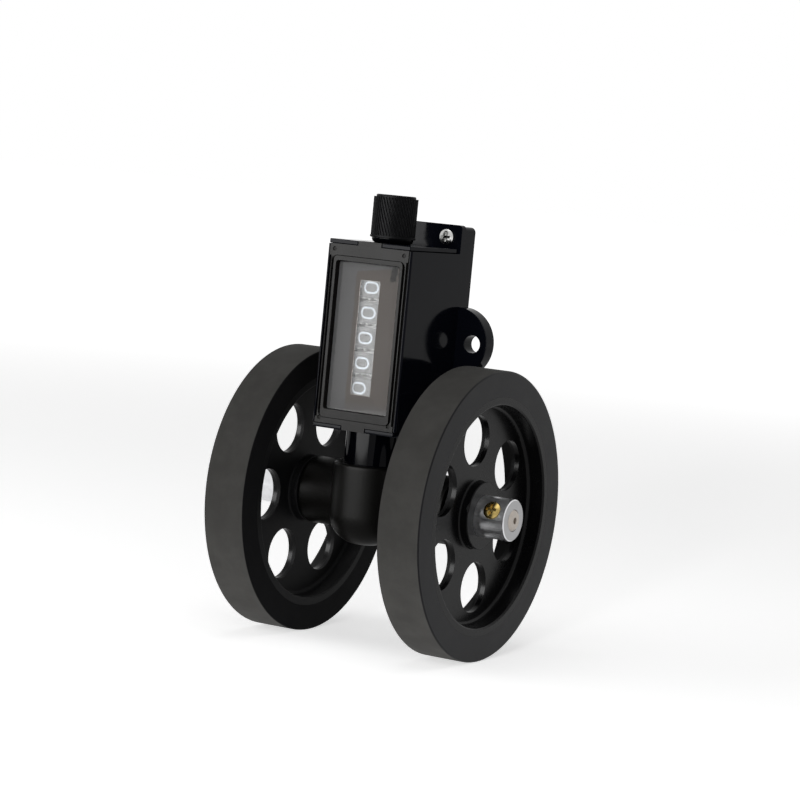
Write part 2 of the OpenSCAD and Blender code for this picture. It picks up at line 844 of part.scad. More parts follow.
// Rubber tyre with the groove for the wheel's key ring
module tyre(side) {
  color("#3c3c3c") on_axle(side * wheel_x) rotate_extrude() difference() {
    translate([rim_r + fit_gap, -wheel_w / 2]) square([tyre_t - fit_gap, wheel_w]);
    translate([rim_r, -key_w / 2 - fit_gap])
      square([key_h + fit_gap, key_w + 2 * fit_gap]);
    for (s = [0, 1]) mirror([0, s])
      translate([wheel_r, wheel_w / 2]) mirror([1, 0]) mirror([0, 1])
        corner_fill(tyre_edge_r);
  }
}

module tyre_left() {
  tyre(-1);
}

module tyre_right() {
  tyre(1);
}

// Places a clamp screw or its hole: seat at z = 0, pointing away from the axle
module at_clamp(side) {
  turn = side > 0 ? right_clamp_turn : left_clamp_turn;
  translate([side * (wheel_x + hub_half + clamp_x), axle_y, axle_z])
    rotate([turn - 90, 0, 0])
      translate([0, 0, sleeve_d / 2 - clamp_seat]) children();
}

// Metal sleeve moulded into the hub and clamped to the axle
module hub_sleeve(side) {
  r = sleeve_d / 2;
  length = sleeve_end - hub_in;
  color("#b5b7ba") difference() {
    mirror([side > 0 ? 0 : 1, 0, 0]) on_axle(hub_in) rotate_extrude()
      polygon([[0, 0], [r, 0], [r, length - sleeve_chamfer],
               [r - sleeve_chamfer, length], [0, length]]);
    on_axle(side > 0 ? hub_in - cut : -sleeve_end - cut)
      cylinder(d = axle_d + 2 * run_gap, h = length + 2 * cut);
    at_clamp(side) {
      cylinder(d = clamp_head_d + 4 * run_gap, h = sleeve_d);
      translate([0, 0, -sleeve_d / 2])
        cylinder(d = clamp_d + 2 * fit_gap, h = sleeve_d);
    }
  }
}

module hub_sleeve_left() {
  hub_sleeve(-1);
}

module hub_sleeve_right() {
  hub_sleeve(1);
}

module clamp_screw_left() {
  color("#c9a54b") at_clamp(-1) pan_screw(clamp_d, clamp_head_d, clamp_head_h, clamp_len);
}

module clamp_screw_right() {
  color("#c9a54b") at_clamp(1) pan_screw(clamp_d, clamp_head_d, clamp_head_h, clamp_len);
}

module thrust_washer_left() {
  color("#d8d6cf") on_axle(-tube_half - face_gap - washer_t)
    ring(washer_d, axle_d + 2 * run_gap, washer_t);
}

module thrust_washer_right() {
  color("#d8d6cf") on_axle(tube_half + face_gap)
    ring(washer_d, axle_d + 2 * run_gap, washer_t);
}

// Upright drive shaft, bored at the top for the reset shaft
module drive_shaft() {
  low = chamber_floor + face_gap;
  color("#b9bbbd") translate([0, gear_y, 0]) difference() {
    translate([0, 0, low]) cylinder(d = shaft_d, h = dog_top - low);
    translate([0, 0, dog_top - reset_bore_h])
      cylinder(d = reset_d + 2 * run_gap, h = reset_bore_h + cut);
    translate([0, 0, axle_z - gear_w / 2 - gear_hub_h / 2]) rotate([90, 0, 0])
      cylinder(d = pin_d + 2 * fit_gap, h = 2 * shaft_d, center = true);
  }
}

// Twelve-tooth helical gear on the drive shaft
module shaft_gear() {
  pin_z = axle_z - gear_w / 2 - gear_hub_h / 2;
  color("#d9d4c4") translate([0, gear_y, 0]) difference() {
    union() {
      translate([0, 0, axle_z]) rotate(90)
        helical_gear(gear_teeth, gear_r, gear_helix, gear_w, gear_slices);
      translate([0, 0, axle_z - gear_w / 2 - gear_hub_h])
        cylinder(r = gear_hub_r, h = gear_hub_h + fit_gap);
    }
    translate([0, 0, axle_z - gear_w])
      cylinder(d = shaft_d + 2 * fit_gap, h = 2 * gear_w);
    translate([0, 0, pin_z]) rotate([90, 0, 0])
      cylinder(d = pin_d + 2 * fit_gap, h = 4 * gear_hub_r, center = true);
  }
}

module shaft_gear_pin() {
  pin_z = axle_z - gear_w / 2 - gear_hub_h / 2;
  color("#8f9295") translate([0, gear_y, pin_z]) rotate([90, 0, 0])
    cylinder(d = pin_d, h = 2 * (gear_hub_r - fit_gap), center = true);
}

// Disc on top of the drive shaft, with two pins that take the first drum round
module drive_dog() {
  color("#8f9295") translate([0, drum_y, dog_top - dog_t]) {
    ring(2 * dog_r, shaft_d + 2 * fit_gap, dog_t);
    for (s = [-1, 1])
      translate([s * dog_circle_r, 0, dog_t / 2])
        cylinder(r = dog_pin_r, h = dog_t / 2 + air_gap + dog_pin_h);
  }
}

// Number drum: gear below, digit band in the middle, carry ring on top
module drum(n) {
  band = band_w / 2;
  gear_thick = PI * drum_gear_r / drum_teeth - tooth_thin;
  translate([0, drum_y, window_z + (n - (drum_count + 1) / 2) * drum_pitch])
    color("#b5b2ad") difference() {
      union() {
        translate([0, 0, -drum_half]) rotate(drum_turn) linear_extrude(side_w + drum_web / 2)
          gear_outline(drum_teeth, drum_gear_r, normal_angle, tooth_rise, tooth_root,
                       gear_thick, 1);
        rotate_extrude() {
          translate([drum_r - rim_wall, -band]) square([rim_wall, band_w]);
          translate([0, -band]) square([drum_r, drum_web]);
          translate([lock_r - ring_wall, -band]) square([ring_wall, band + drum_half]);
          translate([0, -band]) square([drum_hub_r, band + drum_half]);
        }
        for (s = [-1, 1])
          rotate(90 + carry_past + s * 180 / drum_teeth) carry_tooth();
      }
      translate([0, 0, -drum_pitch])
        cylinder(d = reset_d + 2 * run_gap, h = 2 * drum_pitch);
      for (s = [-1, 1])
        translate([s * dog_circle_r, 0, -drum_pitch]) cylinder(r = dog_hole_r, h = drum_pitch);
    }
}

// One of the two teeth that move the next pinion on
module carry_tooth() {
  translate([0, 0, band_w / 2]) linear_extrude(side_w)
    polygon([[lock_r - ring_wall / 2, -carry_root_w / 2], [carry_tip_r, -carry_root_w / 4],
             [carry_tip_r, carry_root_w / 4], [lock_r - ring_wall / 2, carry_root_w / 2]]);
}

module drum_1() { drum(1); }
module drum_2() { drum(2); }
module drum_3() { drum(3); }
module drum_4() { drum(4); }
module drum_5() { drum(5); }

// Carry pinion: all teeth in the upper drum's gear, every other one below
module carry_pinion(n) {
  thick = PI * pinion_r / pinion_teeth - tooth_thin;
  color("#e4e0d6") translate([0, pinion_y, pinion_z(n)]) rotate(pinion_turn - 90)
    difference() {
      union() {
        linear_extrude(pinion_half)
          gear_outline(pinion_teeth, pinion_r, normal_angle, tooth_rise, tooth_root, thick, 1);
        translate([0, 0, -pinion_half]) linear_extrude(pinion_half + fit_gap)
          gear_outline(pinion_teeth, pinion_r, normal_angle, tooth_rise, tooth_root, thick, 2);
      }
      translate([0, 0, -drum_pitch])
        cylinder(d = pinion_shaft_d + 2 * run_gap, h = 2 * drum_pitch);
    }
}

module carry_pinion_1() { carry_pinion(1); }
module carry_pinion_2() { carry_pinion(2); }
module carry_pinion_3() { carry_pinion(3); }
module carry_pinion_4() { carry_pinion(4); }

// Reset shaft: from the bore in the drive shaft up into the knob
module reset_shaft() {
  low = dog_top - reset_bore_h + face_gap;
  color("#c3c6c9") translate([0, drum_y, low])
    cylinder(d = reset_d, h = knob_z + knob_seat_h - low);
}

module reset_clip() {
  color("#8f9295") translate([0, drum_y, drum_top + air_gap])
    ring(clip_d, reset_d + 2 * fit_gap, clip_t);
}

// Knurled reset knob
module reset_knob() {
  core = knob_d / 2 - knurl_h;
  lip_r = knob_d / 2 + knob_lip;
  crown_r = knob_d / 2 - knob_step;
  points = 2 * knob_ridges;
  color("#1a1a1b") translate([0, drum_y, knob_z]) difference() {
    union() {
      rotate_extrude()
        polygon([[0, 0], [lip_r - knob_lip, 0], [lip_r, knob_lip], [lip_r, knob_plain],
                 [core, knob_plain + knob_lip], [core, knob_h - knob_step],
                 [crown_r, knob_h - knob_step], [crown_r, knob_h - knob_chamfer],
                 [crown_r - knob_chamfer, knob_h], [0, knob_h]]);
      translate([0, 0, knob_plain]) linear_extrude(knob_h - knob_plain - knob_step)
        polygon([for (i = [0 : points - 1])
          polar(i % 2 == 0 ? knob_d / 2 : core - knurl_sink, i * 360 / points)]);
    }
    translate([0, 0, knob_h - knob_dish_h]) cylinder(d = knob_dish_d, h = knob_dish_h + cut);
    translate([0, 0, -cut]) cylinder(d = reset_d + 2 * fit_gap, h = knob_seat_h + cut + fit_gap);
  }
}

gear_case();
axle_bush_left();
axle_bush_right();
foot_bush();
neck_tube();
neck_bush_lower();
neck_bush_upper();
neck_nut();
case_body();
case_bottom_cap();
case_top_cap();
front_bezel();
window_frame();
window_lens();
dial_mask();
drum_chassis();
pinion_shaft();
pinion_spacers();
knob_bush();
mounting_plate();
plate_screws();
axle();
axle_gear();
axle_gear_pin();
wheel_left();
wheel_right();
tyre_left();
tyre_right();
hub_sleeve_left();
hub_sleeve_right();
clamp_screw_left();
clamp_screw_right();
thrust_washer_left();
thrust_washer_right();
drive_shaft();
shaft_gear();
shaft_gear_pin();
drive_dog();
drum_1();
drum_2();
drum_3();
drum_4();
drum_5();
carry_pinion_1();
carry_pinion_2();
carry_pinion_3();
carry_pinion_4();
reset_shaft();
reset_clip();
reset_knob();
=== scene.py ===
import json
import math

import bmesh
import bpy
from bpy.props import FloatProperty, FloatVectorProperty, IntProperty, PointerProperty
from mathutils import Matrix, Vector

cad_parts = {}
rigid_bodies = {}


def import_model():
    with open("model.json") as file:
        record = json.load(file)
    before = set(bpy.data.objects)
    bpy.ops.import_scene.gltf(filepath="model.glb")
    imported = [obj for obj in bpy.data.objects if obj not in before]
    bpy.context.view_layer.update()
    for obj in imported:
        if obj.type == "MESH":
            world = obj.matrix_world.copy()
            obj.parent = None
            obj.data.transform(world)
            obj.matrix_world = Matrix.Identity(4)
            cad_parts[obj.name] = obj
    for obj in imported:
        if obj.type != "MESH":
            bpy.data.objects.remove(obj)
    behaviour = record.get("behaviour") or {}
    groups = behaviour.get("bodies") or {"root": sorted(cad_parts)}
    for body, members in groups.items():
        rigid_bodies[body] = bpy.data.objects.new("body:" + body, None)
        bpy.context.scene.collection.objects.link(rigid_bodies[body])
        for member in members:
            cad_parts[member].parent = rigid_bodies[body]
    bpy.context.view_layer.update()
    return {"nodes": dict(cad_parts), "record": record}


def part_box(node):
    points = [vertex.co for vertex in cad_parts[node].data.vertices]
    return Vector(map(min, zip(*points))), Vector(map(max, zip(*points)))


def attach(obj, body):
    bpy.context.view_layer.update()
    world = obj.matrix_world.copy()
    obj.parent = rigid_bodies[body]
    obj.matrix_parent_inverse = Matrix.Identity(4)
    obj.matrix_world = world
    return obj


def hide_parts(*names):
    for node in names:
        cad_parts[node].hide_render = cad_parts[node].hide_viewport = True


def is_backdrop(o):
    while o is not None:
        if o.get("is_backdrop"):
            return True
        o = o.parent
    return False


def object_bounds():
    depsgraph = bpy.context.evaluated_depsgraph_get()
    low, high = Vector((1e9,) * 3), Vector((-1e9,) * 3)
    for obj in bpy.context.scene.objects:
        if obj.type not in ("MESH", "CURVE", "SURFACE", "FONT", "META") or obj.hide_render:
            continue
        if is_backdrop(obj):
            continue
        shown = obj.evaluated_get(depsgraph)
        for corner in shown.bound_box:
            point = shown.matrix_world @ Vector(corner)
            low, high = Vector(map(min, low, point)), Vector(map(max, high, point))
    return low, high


bl_info = {
    "name": "Cable Length Counter",
    "version": (1, 0, 0),
    "blender": (4, 5, 0),
    "location": "View3D > Sidebar > Counter",
    "description": "Dresses the cable length counter and sets up its studio",
    "category": "Object",
}

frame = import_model()
NODES = frame["nodes"]
SLOT_OF = {part["node"]: part["material_slot"] for part in frame["record"]["subparts"]}
BODY_OF = {node: body for body, nodes in frame["record"]["behaviour"]["bodies"].items()
           for node in nodes}
MM = 0.001
SIDES = ("left", "right")
DRUMS = (1, 2, 3, 4, 5)
MIDDLE_DRUM = 3


def middle(node):
    """The centre of a CAD node's box."""
    low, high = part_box(node)
    return (low + high) / 2


def extent(node):
    """The size of a CAD node's box along X, Y and Z."""
    low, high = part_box(node)
    return high - low


def direction(azimuth, elevation):
    """The way from the counter to the outside, with azimuth 0 straight ahead of its front."""
    return Vector((math.sin(azimuth) * math.cos(elevation),
                   -math.cos(azimuth) * math.cos(elevation), math.sin(elevation)))


AXLE = middle("axle")
DRUM_AXIS = middle(f"drum_{MIDDLE_DRUM}")


class CounterSizes(bpy.types.PropertyGroup):
    """Sizes of the looks that the frame doesn't hold."""
    edge: FloatProperty(
        name="Moulded edge", description="Rounding of the case, plate, neck and wheels",
        default=0.3 * MM, unit="LENGTH")
    fine_edge: FloatProperty(
        name="Fine edge", description="Rounding of the metal pieces, the pane and the dial",
        default=0.12 * MM, unit="LENGTH")
    bar_edge: FloatProperty(
        name="Bar edge", description="Rounding of the bezel's and the window frame's bars",
        default=0.3 * MM, unit="LENGTH")
    tyre_edge: FloatProperty(
        name="Tyre edge", description="Rounding of the tyre's outer corners",
        default=0.7 * MM, unit="LENGTH")
    case_blend: FloatProperty(
        name="Case blend", description="Voxel size that blends the gear case's tubes",
        default=0.45 * MM, unit="LENGTH")
    step_width: FloatProperty(
        name="Step width", description="Width of the steps along the bezel's long sides",
        default=0.75 * MM, unit="LENGTH")
    step_depth: FloatProperty(
        name="Step depth", description="Depth of the steps along the bezel's long sides",
        default=1.0 * MM, unit="LENGTH")
    digit_height: FloatProperty(
        name="Digit height", description="Height of a digit, along the drum's turn",
        default=6.2 * MM, unit="LENGTH")
    digit_width: FloatProperty(
        name="Digit width", description="Width of a digit, along the drum's axis",
        default=4.4 * MM, unit="LENGTH")
    digit_stroke: FloatProperty(
        name="Digit stroke", description="Width of the nought's stroke",
        default=0.68 * MM, unit="LENGTH")
    digit_lift: FloatProperty(
        name="Digit lift", description="Thickness of the printed digits",
        default=0.04 * MM, unit="LENGTH")
    digit_shift: FloatProperty(
        name="Digit shift", description="Sideways place of the middle drum's digits",
        default=-0.6 * MM, unit="LENGTH")
    drum_lag: FloatProperty(
        name="Drum lag", description="Sideways step of the digits from one drum to the next",
        default=0.36 * MM, unit="LENGTH")
    # The faint bar is a painted highlight, where a band's top edge catches the light.
    mark_width: FloatProperty(
        name="Mark width", description="Width of the faint bar, along the drum's axis",
        default=0.7 * MM, unit="LENGTH")
    mark_length: FloatProperty(
        name="Mark length", description="Length of the faint bar, along the drum's turn",
        default=3.3 * MM, unit="LENGTH")
    mark_height: FloatProperty(
        name="Mark height", description="Height of the faint bar over the digit's middle",
        default=3.2 * MM, unit="LENGTH")
    knurl_ridges: IntProperty(
        name="Knurl ridges", description="Ridges round the reset knob", default=44)
    knurl_slant: FloatProperty(
        name="Knurl slant", description="Slant of the knob's ridges",
        default=math.radians(20), subtype="ANGLE")
    knurl_depth: FloatProperty(
        name="Knurl depth", description="Height of the knob's ridges",
        default=0.45 * MM, unit="LENGTH")


class CounterColours(bpy.types.PropertyGroup):
    """Colours of the finishes."""
    tread: FloatVectorProperty(
        name="Tread", description="Ground rubber of the treads", subtype="COLOR",
        default=(0.038, 0.037, 0.035))
    tyre_side: FloatVectorProperty(
        name="Tyre side", description="Moulded rubber of the tyres' sides", subtype="COLOR",
        default=(0.0036, 0.0036, 0.0044))
    wheel: FloatVectorProperty(
        name="Wheel", description="Moulded wheels", subtype="COLOR",
        default=(0.0016, 0.0016, 0.0018))
    housing: FloatVectorProperty(
        name="Gear case", description="Satin gear case", subtype="COLOR",
        default=(0.0015, 0.0014, 0.0012))
    case: FloatVectorProperty(
        name="Counter case", description="Glossy case and plate", subtype="COLOR",
        default=(0.0022, 0.0026, 0.0046))
    bezel: FloatVectorProperty(
        name="Bezel", description="Front bezel and window frame", subtype="COLOR",
        default=(0.0050, 0.0046, 0.0042))
    dial: FloatVectorProperty(
        name="Dial", description="Smoked dial mask", subtype="COLOR",
        default=(0.222, 0.215, 0.217))
    pane: FloatVectorProperty(
        name="Pane", description="Tint of the clear window", subtype="COLOR",
        default=(0.93, 0.94, 0.94))
    drum: FloatVectorProperty(
        name="Drum", description="Bands of the number drums", subtype="COLOR",
        default=(0.130, 0.128, 0.127))
    digit: FloatVectorProperty(
        name="Digit", description="Printed digits", subtype="COLOR",
        default=(0.45, 0.48, 0.52))
    axle: FloatVectorProperty(
        name="Axle", description="Ground steel of the axle and the shafts", subtype="COLOR",
        default=(0.42, 0.38, 0.34))
    # Painted light: the sleeves' sides take a lightened copy of their steel.
    sleeve: FloatVectorProperty(
        name="Sleeve", description="Turned sides of the hub sleeves", subtype="COLOR",
        default=(0.74, 0.745, 0.76))
    # Painted shade: the sleeves' ends take a darkened copy of the same steel.
    sleeve_end: FloatVectorProperty(
        name="Sleeve end", description="Duller ends of the hub sleeves", subtype="COLOR",
        default=(0.35, 0.35, 0.355))
    zinc: FloatVectorProperty(
        name="Zinc", description="Plated frame, spacers, disc, nut and clip", subtype="COLOR",
        default=(0.58, 0.60, 0.62))
    screw: FloatVectorProperty(
        name="Screw", description="Screws of the plate", subtype="COLOR",
        default=(0.55, 0.55, 0.54))
    clamp: FloatVectorProperty(
        name="Clamp screw", description="Brass screws in the sleeves", subtype="COLOR",
        default=(0.50, 0.37, 0.13))
    bearing: FloatVectorProperty(
        name="Bearing", description="Brass bushes", subtype="COLOR",
        default=(0.62, 0.42, 0.18))
    gear: FloatVectorProperty(
        name="Gear", description="Brass gear on the axle", subtype="COLOR",
        default=(0.74, 0.53, 0.22))


class CounterCamera(bpy.types.PropertyGroup):
    """Place and lens of the camera."""
    azimuth: FloatProperty(
        name="Azimuth", description="Turn of the camera from the front towards +X",
        default=math.radians(29.577), subtype="ANGLE")
    elevation: FloatProperty(
        name="Elevation", description="Height angle of the camera",
        default=math.radians(4.536), subtype="ANGLE")
    roll: FloatProperty(
        name="Roll", description="Turn of the camera about its own axis",
        default=math.radians(5.431), subtype="ANGLE")
    distance: FloatProperty(
        name="Distance", description="Distance from the camera to its target",
        default=984.02 * MM, unit="LENGTH")
    target: FloatVectorProperty(
        name="Target", description="Point that the camera looks at", subtype="XYZ",
        default=(2.16 * MM, -16.2 * MM, -23.0 * MM), unit="LENGTH")
    lens: FloatProperty(
        name="Lens", description="Focal length, in millimetres",
        default=120.586, unit="CAMERA")
    sensor: FloatProperty(
        name="Sensor", description="Width of the sensor, in millimetres",
        default=36.0, unit="CAMERA")


class Sock:
    """A shader socket that takes part in Python arithmetic."""

    def __init__(self, nodes, socket):
        self.nodes = nodes
        self.socket = socket

    def math(self, operation, *others):
        """The result of a Math node on this socket and the others."""
        return self.nodes.node("ShaderNodeMath", {"operation": operation},
                               dict(enumerate((self, *others))))

    def __add__(self, other):
        return self.math("ADD", other)

    def __sub__(self, other):
        return self.math("SUBTRACT", other)

    def __mul__(self, other):
        return self.math("MULTIPLY", other)

    def __rsub__(self, other):
        return self * -1 + other

    __radd__ = __add__
    __rmul__ = __mul__

    def __abs__(self):
        return self.math("ABSOLUTE")

    def max(self, other):
        """The greater of this socket and another."""
        return self.math("MAXIMUM", other)

    def ramp(self, low, high, to_low=0.0, to_high=1.0):
        """Goes smoothly from to_low to to_high as the socket goes from low to high."""
        return self.nodes.node(
            "ShaderNodeMapRange", {"interpolation_type": "SMOOTHSTEP"},
            {"Value": self, "From Min": low, "From Max": high,
             "To Min": to_low, "To Max": to_high})


class Nodes:
    """A node tree that is built by the types of its nodes and the names of their sockets."""

    def __init__(self, tree):
        self.tree = tree

    def wire(self, target, value):
        """Links a socket to an input, or sets the input to a value."""
        if isinstance(value, Sock):
            self.tree.links.new(value.socket, target)
        elif target.type == "RGBA":
            target.default_value = (*value, 1)
        else:
            target.default_value = value

    def node(self, kind, settings=None, inputs=None, out=0):
        """One output of a new node, whose settings are made before its inputs."""
        made = self.tree.nodes.new(kind)
        for key, value in (settings or {}).items():
            setattr(made, key, value)
        for key, value in (inputs or {}).items():
            self.wire(made.inputs[key], value)
        return Sock(self, made.outputs[out])

    def mix(self, share, low, high):
        """A colour between low and high."""
        return self.node("ShaderNodeMix", {"data_type": "RGBA"},
                         {0: share, 6: low, 7: high}, out=2)

    def length(self, vector):
        """The length of a vector."""
        return self.node("ShaderNodeVectorMath", {"operation": "LENGTH"}, {0: vector},
                         out="Value")

    def seen(self):
        """1 for rays that show the studio: to the camera, in a reflection or through glass."""
        camera, mirror, glass = (self.node("ShaderNodeLightPath", out=f"Is {kind} Ray")
                                 for kind in ("Camera", "Glossy", "Transmission"))
        return camera.max(mirror).max(glass)


class Paint(Nodes):
    """A material with one Principled shader, whose inputs are set by name."""

    def __init__(self, name, colour, rough, fixed=None):
        self.material = bpy.data.materials.new(name)
        self.material.use_nodes = True
        super().__init__(self.material.node_tree)
        self.shader = self.tree.nodes["Principled BSDF"]
        self.place = self.node("ShaderNodeTexCoord", out="Object")
        self.set("Base Color", colour)
        self.set("Roughness", rough)
        for socket, value in (fixed or {}).items():
            self.set(socket, value)

    def set(self, name, value):
        """Sets or links one input of the shader."""
        self.wire(self.shader.inputs[name], value)

    def axes(self):
        """The place along X, Y and Z, in metres."""
        split = self.node("ShaderNodeSeparateXYZ", None, {0: self.place})
        return [Sock(self, output) for output in split.socket.node.outputs]

    def noise(self, size, detail, rough, grain=None):
        """Noise from 0 to 1, of a size in metres, drawn out along axes whose grain is low."""
        place = self.place
        if grain:
            place = self.node("ShaderNodeVectorMath", {"operation": "MULTIPLY"},
                              {0: place, 1: grain})
        return self.node("ShaderNodeTexNoise", {"normalize": True},
                         {"Vector": place, "Scale": 1 / size, "Detail": detail,
                          "Roughness": rough})

    def tone(self, share, colour, low, high):
        """A colour between two shades of one colour."""
        return self.mix(share, shade(colour, low), shade(colour, high))

    def bump(self, height, depth, strength):
        """Raises the surface by up to depth metres where height is 1."""
        self.set("Normal", self.node("ShaderNodeBump", None,
                                     {"Strength": strength, "Distance": depth,
                                      "Height": height}))


SPECULAR = "Specular IOR Level"
# Grains of fine rings round the X axis and round the Z axis
TURNED = (1.0, 0.03, 0.03)
UPRIGHT = (0.03, 0.03, 1.0)


def shade(colour, factor):
    """A colour made lighter or darker."""
    return tuple(min(1.0, part * factor) for part in colour)


def tyre_rubber(colours):
    """Ground grey treads and darker moulded sides, duller between the wheels, where painted
    shade darkens them further.
    """
    paint = Paint("tyre_rubber", colours.tread, 0.8, {SPECULAR: 0.11})
    x, _, _ = paint.axes()
    half = extent("tyre_right").x / 2
    mid = middle("tyre_right").x
    edge = 0.5 * MM
    side = abs(abs(x) - mid).ramp(half - edge, half - edge / 2)
    inner = abs(x).ramp(mid - half + edge, mid - half + 2 * edge, 1.0, 0.0)
    cloud = paint.noise(9 * MM, 4, 0.6)
    fine = paint.noise(0.35 * MM, 3, 0.7)
    rings = paint.noise(0.5 * MM, 2, 0.5, (1.0, 0.02, 0.02))
    tread = paint.tone(cloud.ramp(0.3, 0.75), colours.tread, 0.88, 1.12)
    wall = paint.tone(cloud.ramp(0.35, 0.8), colours.tyre_side, 0.85, 1.2)
    # Painted shade: the tyres' inner sides, between the wheels, take the side colour darkened
    # to 0.3.
    wall = paint.mix(inner, wall, shade(colours.tyre_side, 0.3))
    paint.set("Base Color", paint.mix(side, tread, wall))
    paint.set("Roughness", (1 - side) * (fine * 0.12 + 0.74)
              + side * (cloud * 0.14 + 0.34 + inner * 0.5))
    paint.bump(fine * 0.6 + rings * 0.4, 0.05 * MM, 0.5)
    return paint.material


def wheel_plastic(colours):
    """Satin black moulding with faint flow marks and smudges, duller on its inner side."""
    paint = Paint("wheel_plastic", colours.wheel, 0.3, {SPECULAR: 0.1})
    x, _, _ = paint.axes()
    mid = middle("wheel_right").x
    inner = abs(x).ramp(mid - 0.5 * MM, mid, 1.0, 0.0)
    cloud = paint.noise(14 * MM, 4, 0.6)
    fine = paint.noise(0.5 * MM, 2, 0.5)
    paint.set("Base Color", paint.tone(cloud.ramp(0.3, 0.75), colours.wheel, 0.85, 1.2))
    paint.set("Roughness", cloud * 0.14 + fine * 0.06 + 0.16 + inner * 0.35)
    paint.bump(fine * 0.5 + cloud * 0.5, 0.02 * MM, 0.25)
    return paint.material


def housing_black(colours):
    """Satin gear case with a fine moulded grain."""
    paint = Paint("housing_black", colours.housing, 0.42, {SPECULAR: 0.055})
    fine = paint.noise(0.3 * MM, 3, 0.6)
    cloud = paint.noise(10 * MM, 3, 0.5)
    paint.set("Base Color", paint.tone(cloud, colours.housing, 0.85, 1.2))
    paint.set("Roughness", cloud * 0.1 + fine * 0.08 + 0.32)
    paint.bump(fine, 0.03 * MM, 0.35)
    return paint.material


def gloss_black(name, colour, rough, level):
    """Glossy moulding with faint haze, a few specks and a barely wavy surface."""
    paint = Paint(name, colour, rough, {SPECULAR: level})
    haze = paint.noise(11 * MM, 4, 0.6)
    specks = paint.noise(0.4 * MM, 1, 0.5).ramp(0.74, 0.8)
    wave = paint.noise(16 * MM, 1, 0.4)
    paint.set("Base Color", paint.tone(specks * 0.25, colour, 1, 4))
    paint.set("Roughness", haze.ramp(0.35, 0.8, rough * 0.7, rough * 1.6) + specks * 0.15)
    paint.bump(wave, 0.05 * MM, 0.35)
    return paint.material


def bezel_black(colours):
    """Worn moulding of bezel and window frame, dull behind their fronts and at the left."""
    paint = Paint("bezel_black", colours.bezel, 0.25, {SPECULAR: 0.055})
    x, y, z = paint.axes()
    low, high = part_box("window_frame")
    behind = y.ramp(low.y + 0.5 * MM, low.y + 0.8 * MM)
    left = x.ramp(low.x - 0.3 * MM, low.x, 1.0, 0.0)
    beside = abs(z).ramp(high.z - 1.0 * MM, high.z, 1.0, 0.0)
    haze = paint.noise(7 * MM, 4, 0.6)
    rubbed = paint.noise(0.8 * MM, 3, 0.6, (0.15, 1.0, 1.0))
    specks = paint.noise(0.4 * MM, 1, 0.5).ramp(0.74, 0.8)
    wear_and_sheen = rubbed.ramp(0.55, 0.8) * 0.35 + specks * 0.2
    rough = haze * 0.2 + rubbed * 0.14 + 0.08 + left * beside * 0.35
    paint.set("Base Color", paint.tone(wear_and_sheen, colours.bezel, 0.7, 3))
    paint.set("Roughness", (1 - behind) * rough + behind)
    paint.bump(rubbed, 0.02 * MM, 0.3)
    return paint.material


def dial_grey(colours):
    """Smoked dial with a warmer patch round the digit slot and a dark spot near a top corner.
    """
    paint = Paint("dial_grey", colours.dial, 0.5, {SPECULAR: 0.2})
    x, _, z = paint.axes()
    low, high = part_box("dial_mask")
    cloud = paint.noise(4 * MM, 4, 0.6)
    warp = (paint.noise(3 * MM, 2, 0.5) - 0.5) * 1.2 * MM
    patch_left = -6.0 * MM
    patch_top = high.z - 3.5 * MM
    left = (x + warp).ramp(patch_left - 0.4 * MM, patch_left + 0.4 * MM)
    top = (z + warp - x * 0.15).ramp(patch_top - 0.5 * MM, patch_top + 0.5 * MM, 1.0, 0.0)
    foot = z.ramp(low.z + 3.0 * MM, low.z + 7.0 * MM, 0.4, 1.0)
    warm = (colours.dial[0] * 0.90, colours.dial[1] * 0.80, colours.dial[2] * 0.72)
    blot = (paint.noise(1.3 * MM, 3, 0.6) - 0.5) * 3.0 * MM
    # A dark, ragged spot near the top right corner of the dial.
    dark_spot_x = high.x - 3.2 * MM
    dark_spot_z = high.z - 4.0 * MM
    across = abs(x + blot - dark_spot_x - (z - high.z) * 0.2).ramp(0.8 * MM, 1.8 * MM, 1.0, 0.0)
    down = abs(z + blot - dark_spot_z).ramp(2.2 * MM, 3.4 * MM, 1.0, 0.0)
    clean = paint.mix(left * top * foot, paint.tone(cloud, colours.dial, 0.94, 1.06), warm)
    paint.set("Base Color", paint.mix(across * down * 0.95, clean, shade(colours.dial, 0.2)))
    paint.set("Roughness", cloud * 0.2 + 0.4)
    return paint.material


def clear_window(colours):
    """Clear acrylic with a little haze, which lets the lamps' light through to the dial."""
    paint = Paint("clear_window", colours.pane, 0.03,
                  {"IOR": 1.49, "Transmission Weight": 1.0})
    paint.set("Roughness", paint.noise(6 * MM, 3, 0.6).ramp(0.5, 0.9, 0.0, 0.015))
    lamp_ray = paint.node("ShaderNodeLightPath", out="Is Shadow Ray")
    clear = paint.node("ShaderNodeBsdfTransparent", None, {"Color": colours.pane})
    pane = Sock(paint, paint.shader.outputs[0])
    mixed = paint.node("ShaderNodeMixShader", None, {0: lamp_ray, 1: pane, 2: clear})
    paint.wire(paint.tree.nodes["Material Output"].inputs["Surface"], mixed)
    return paint.material


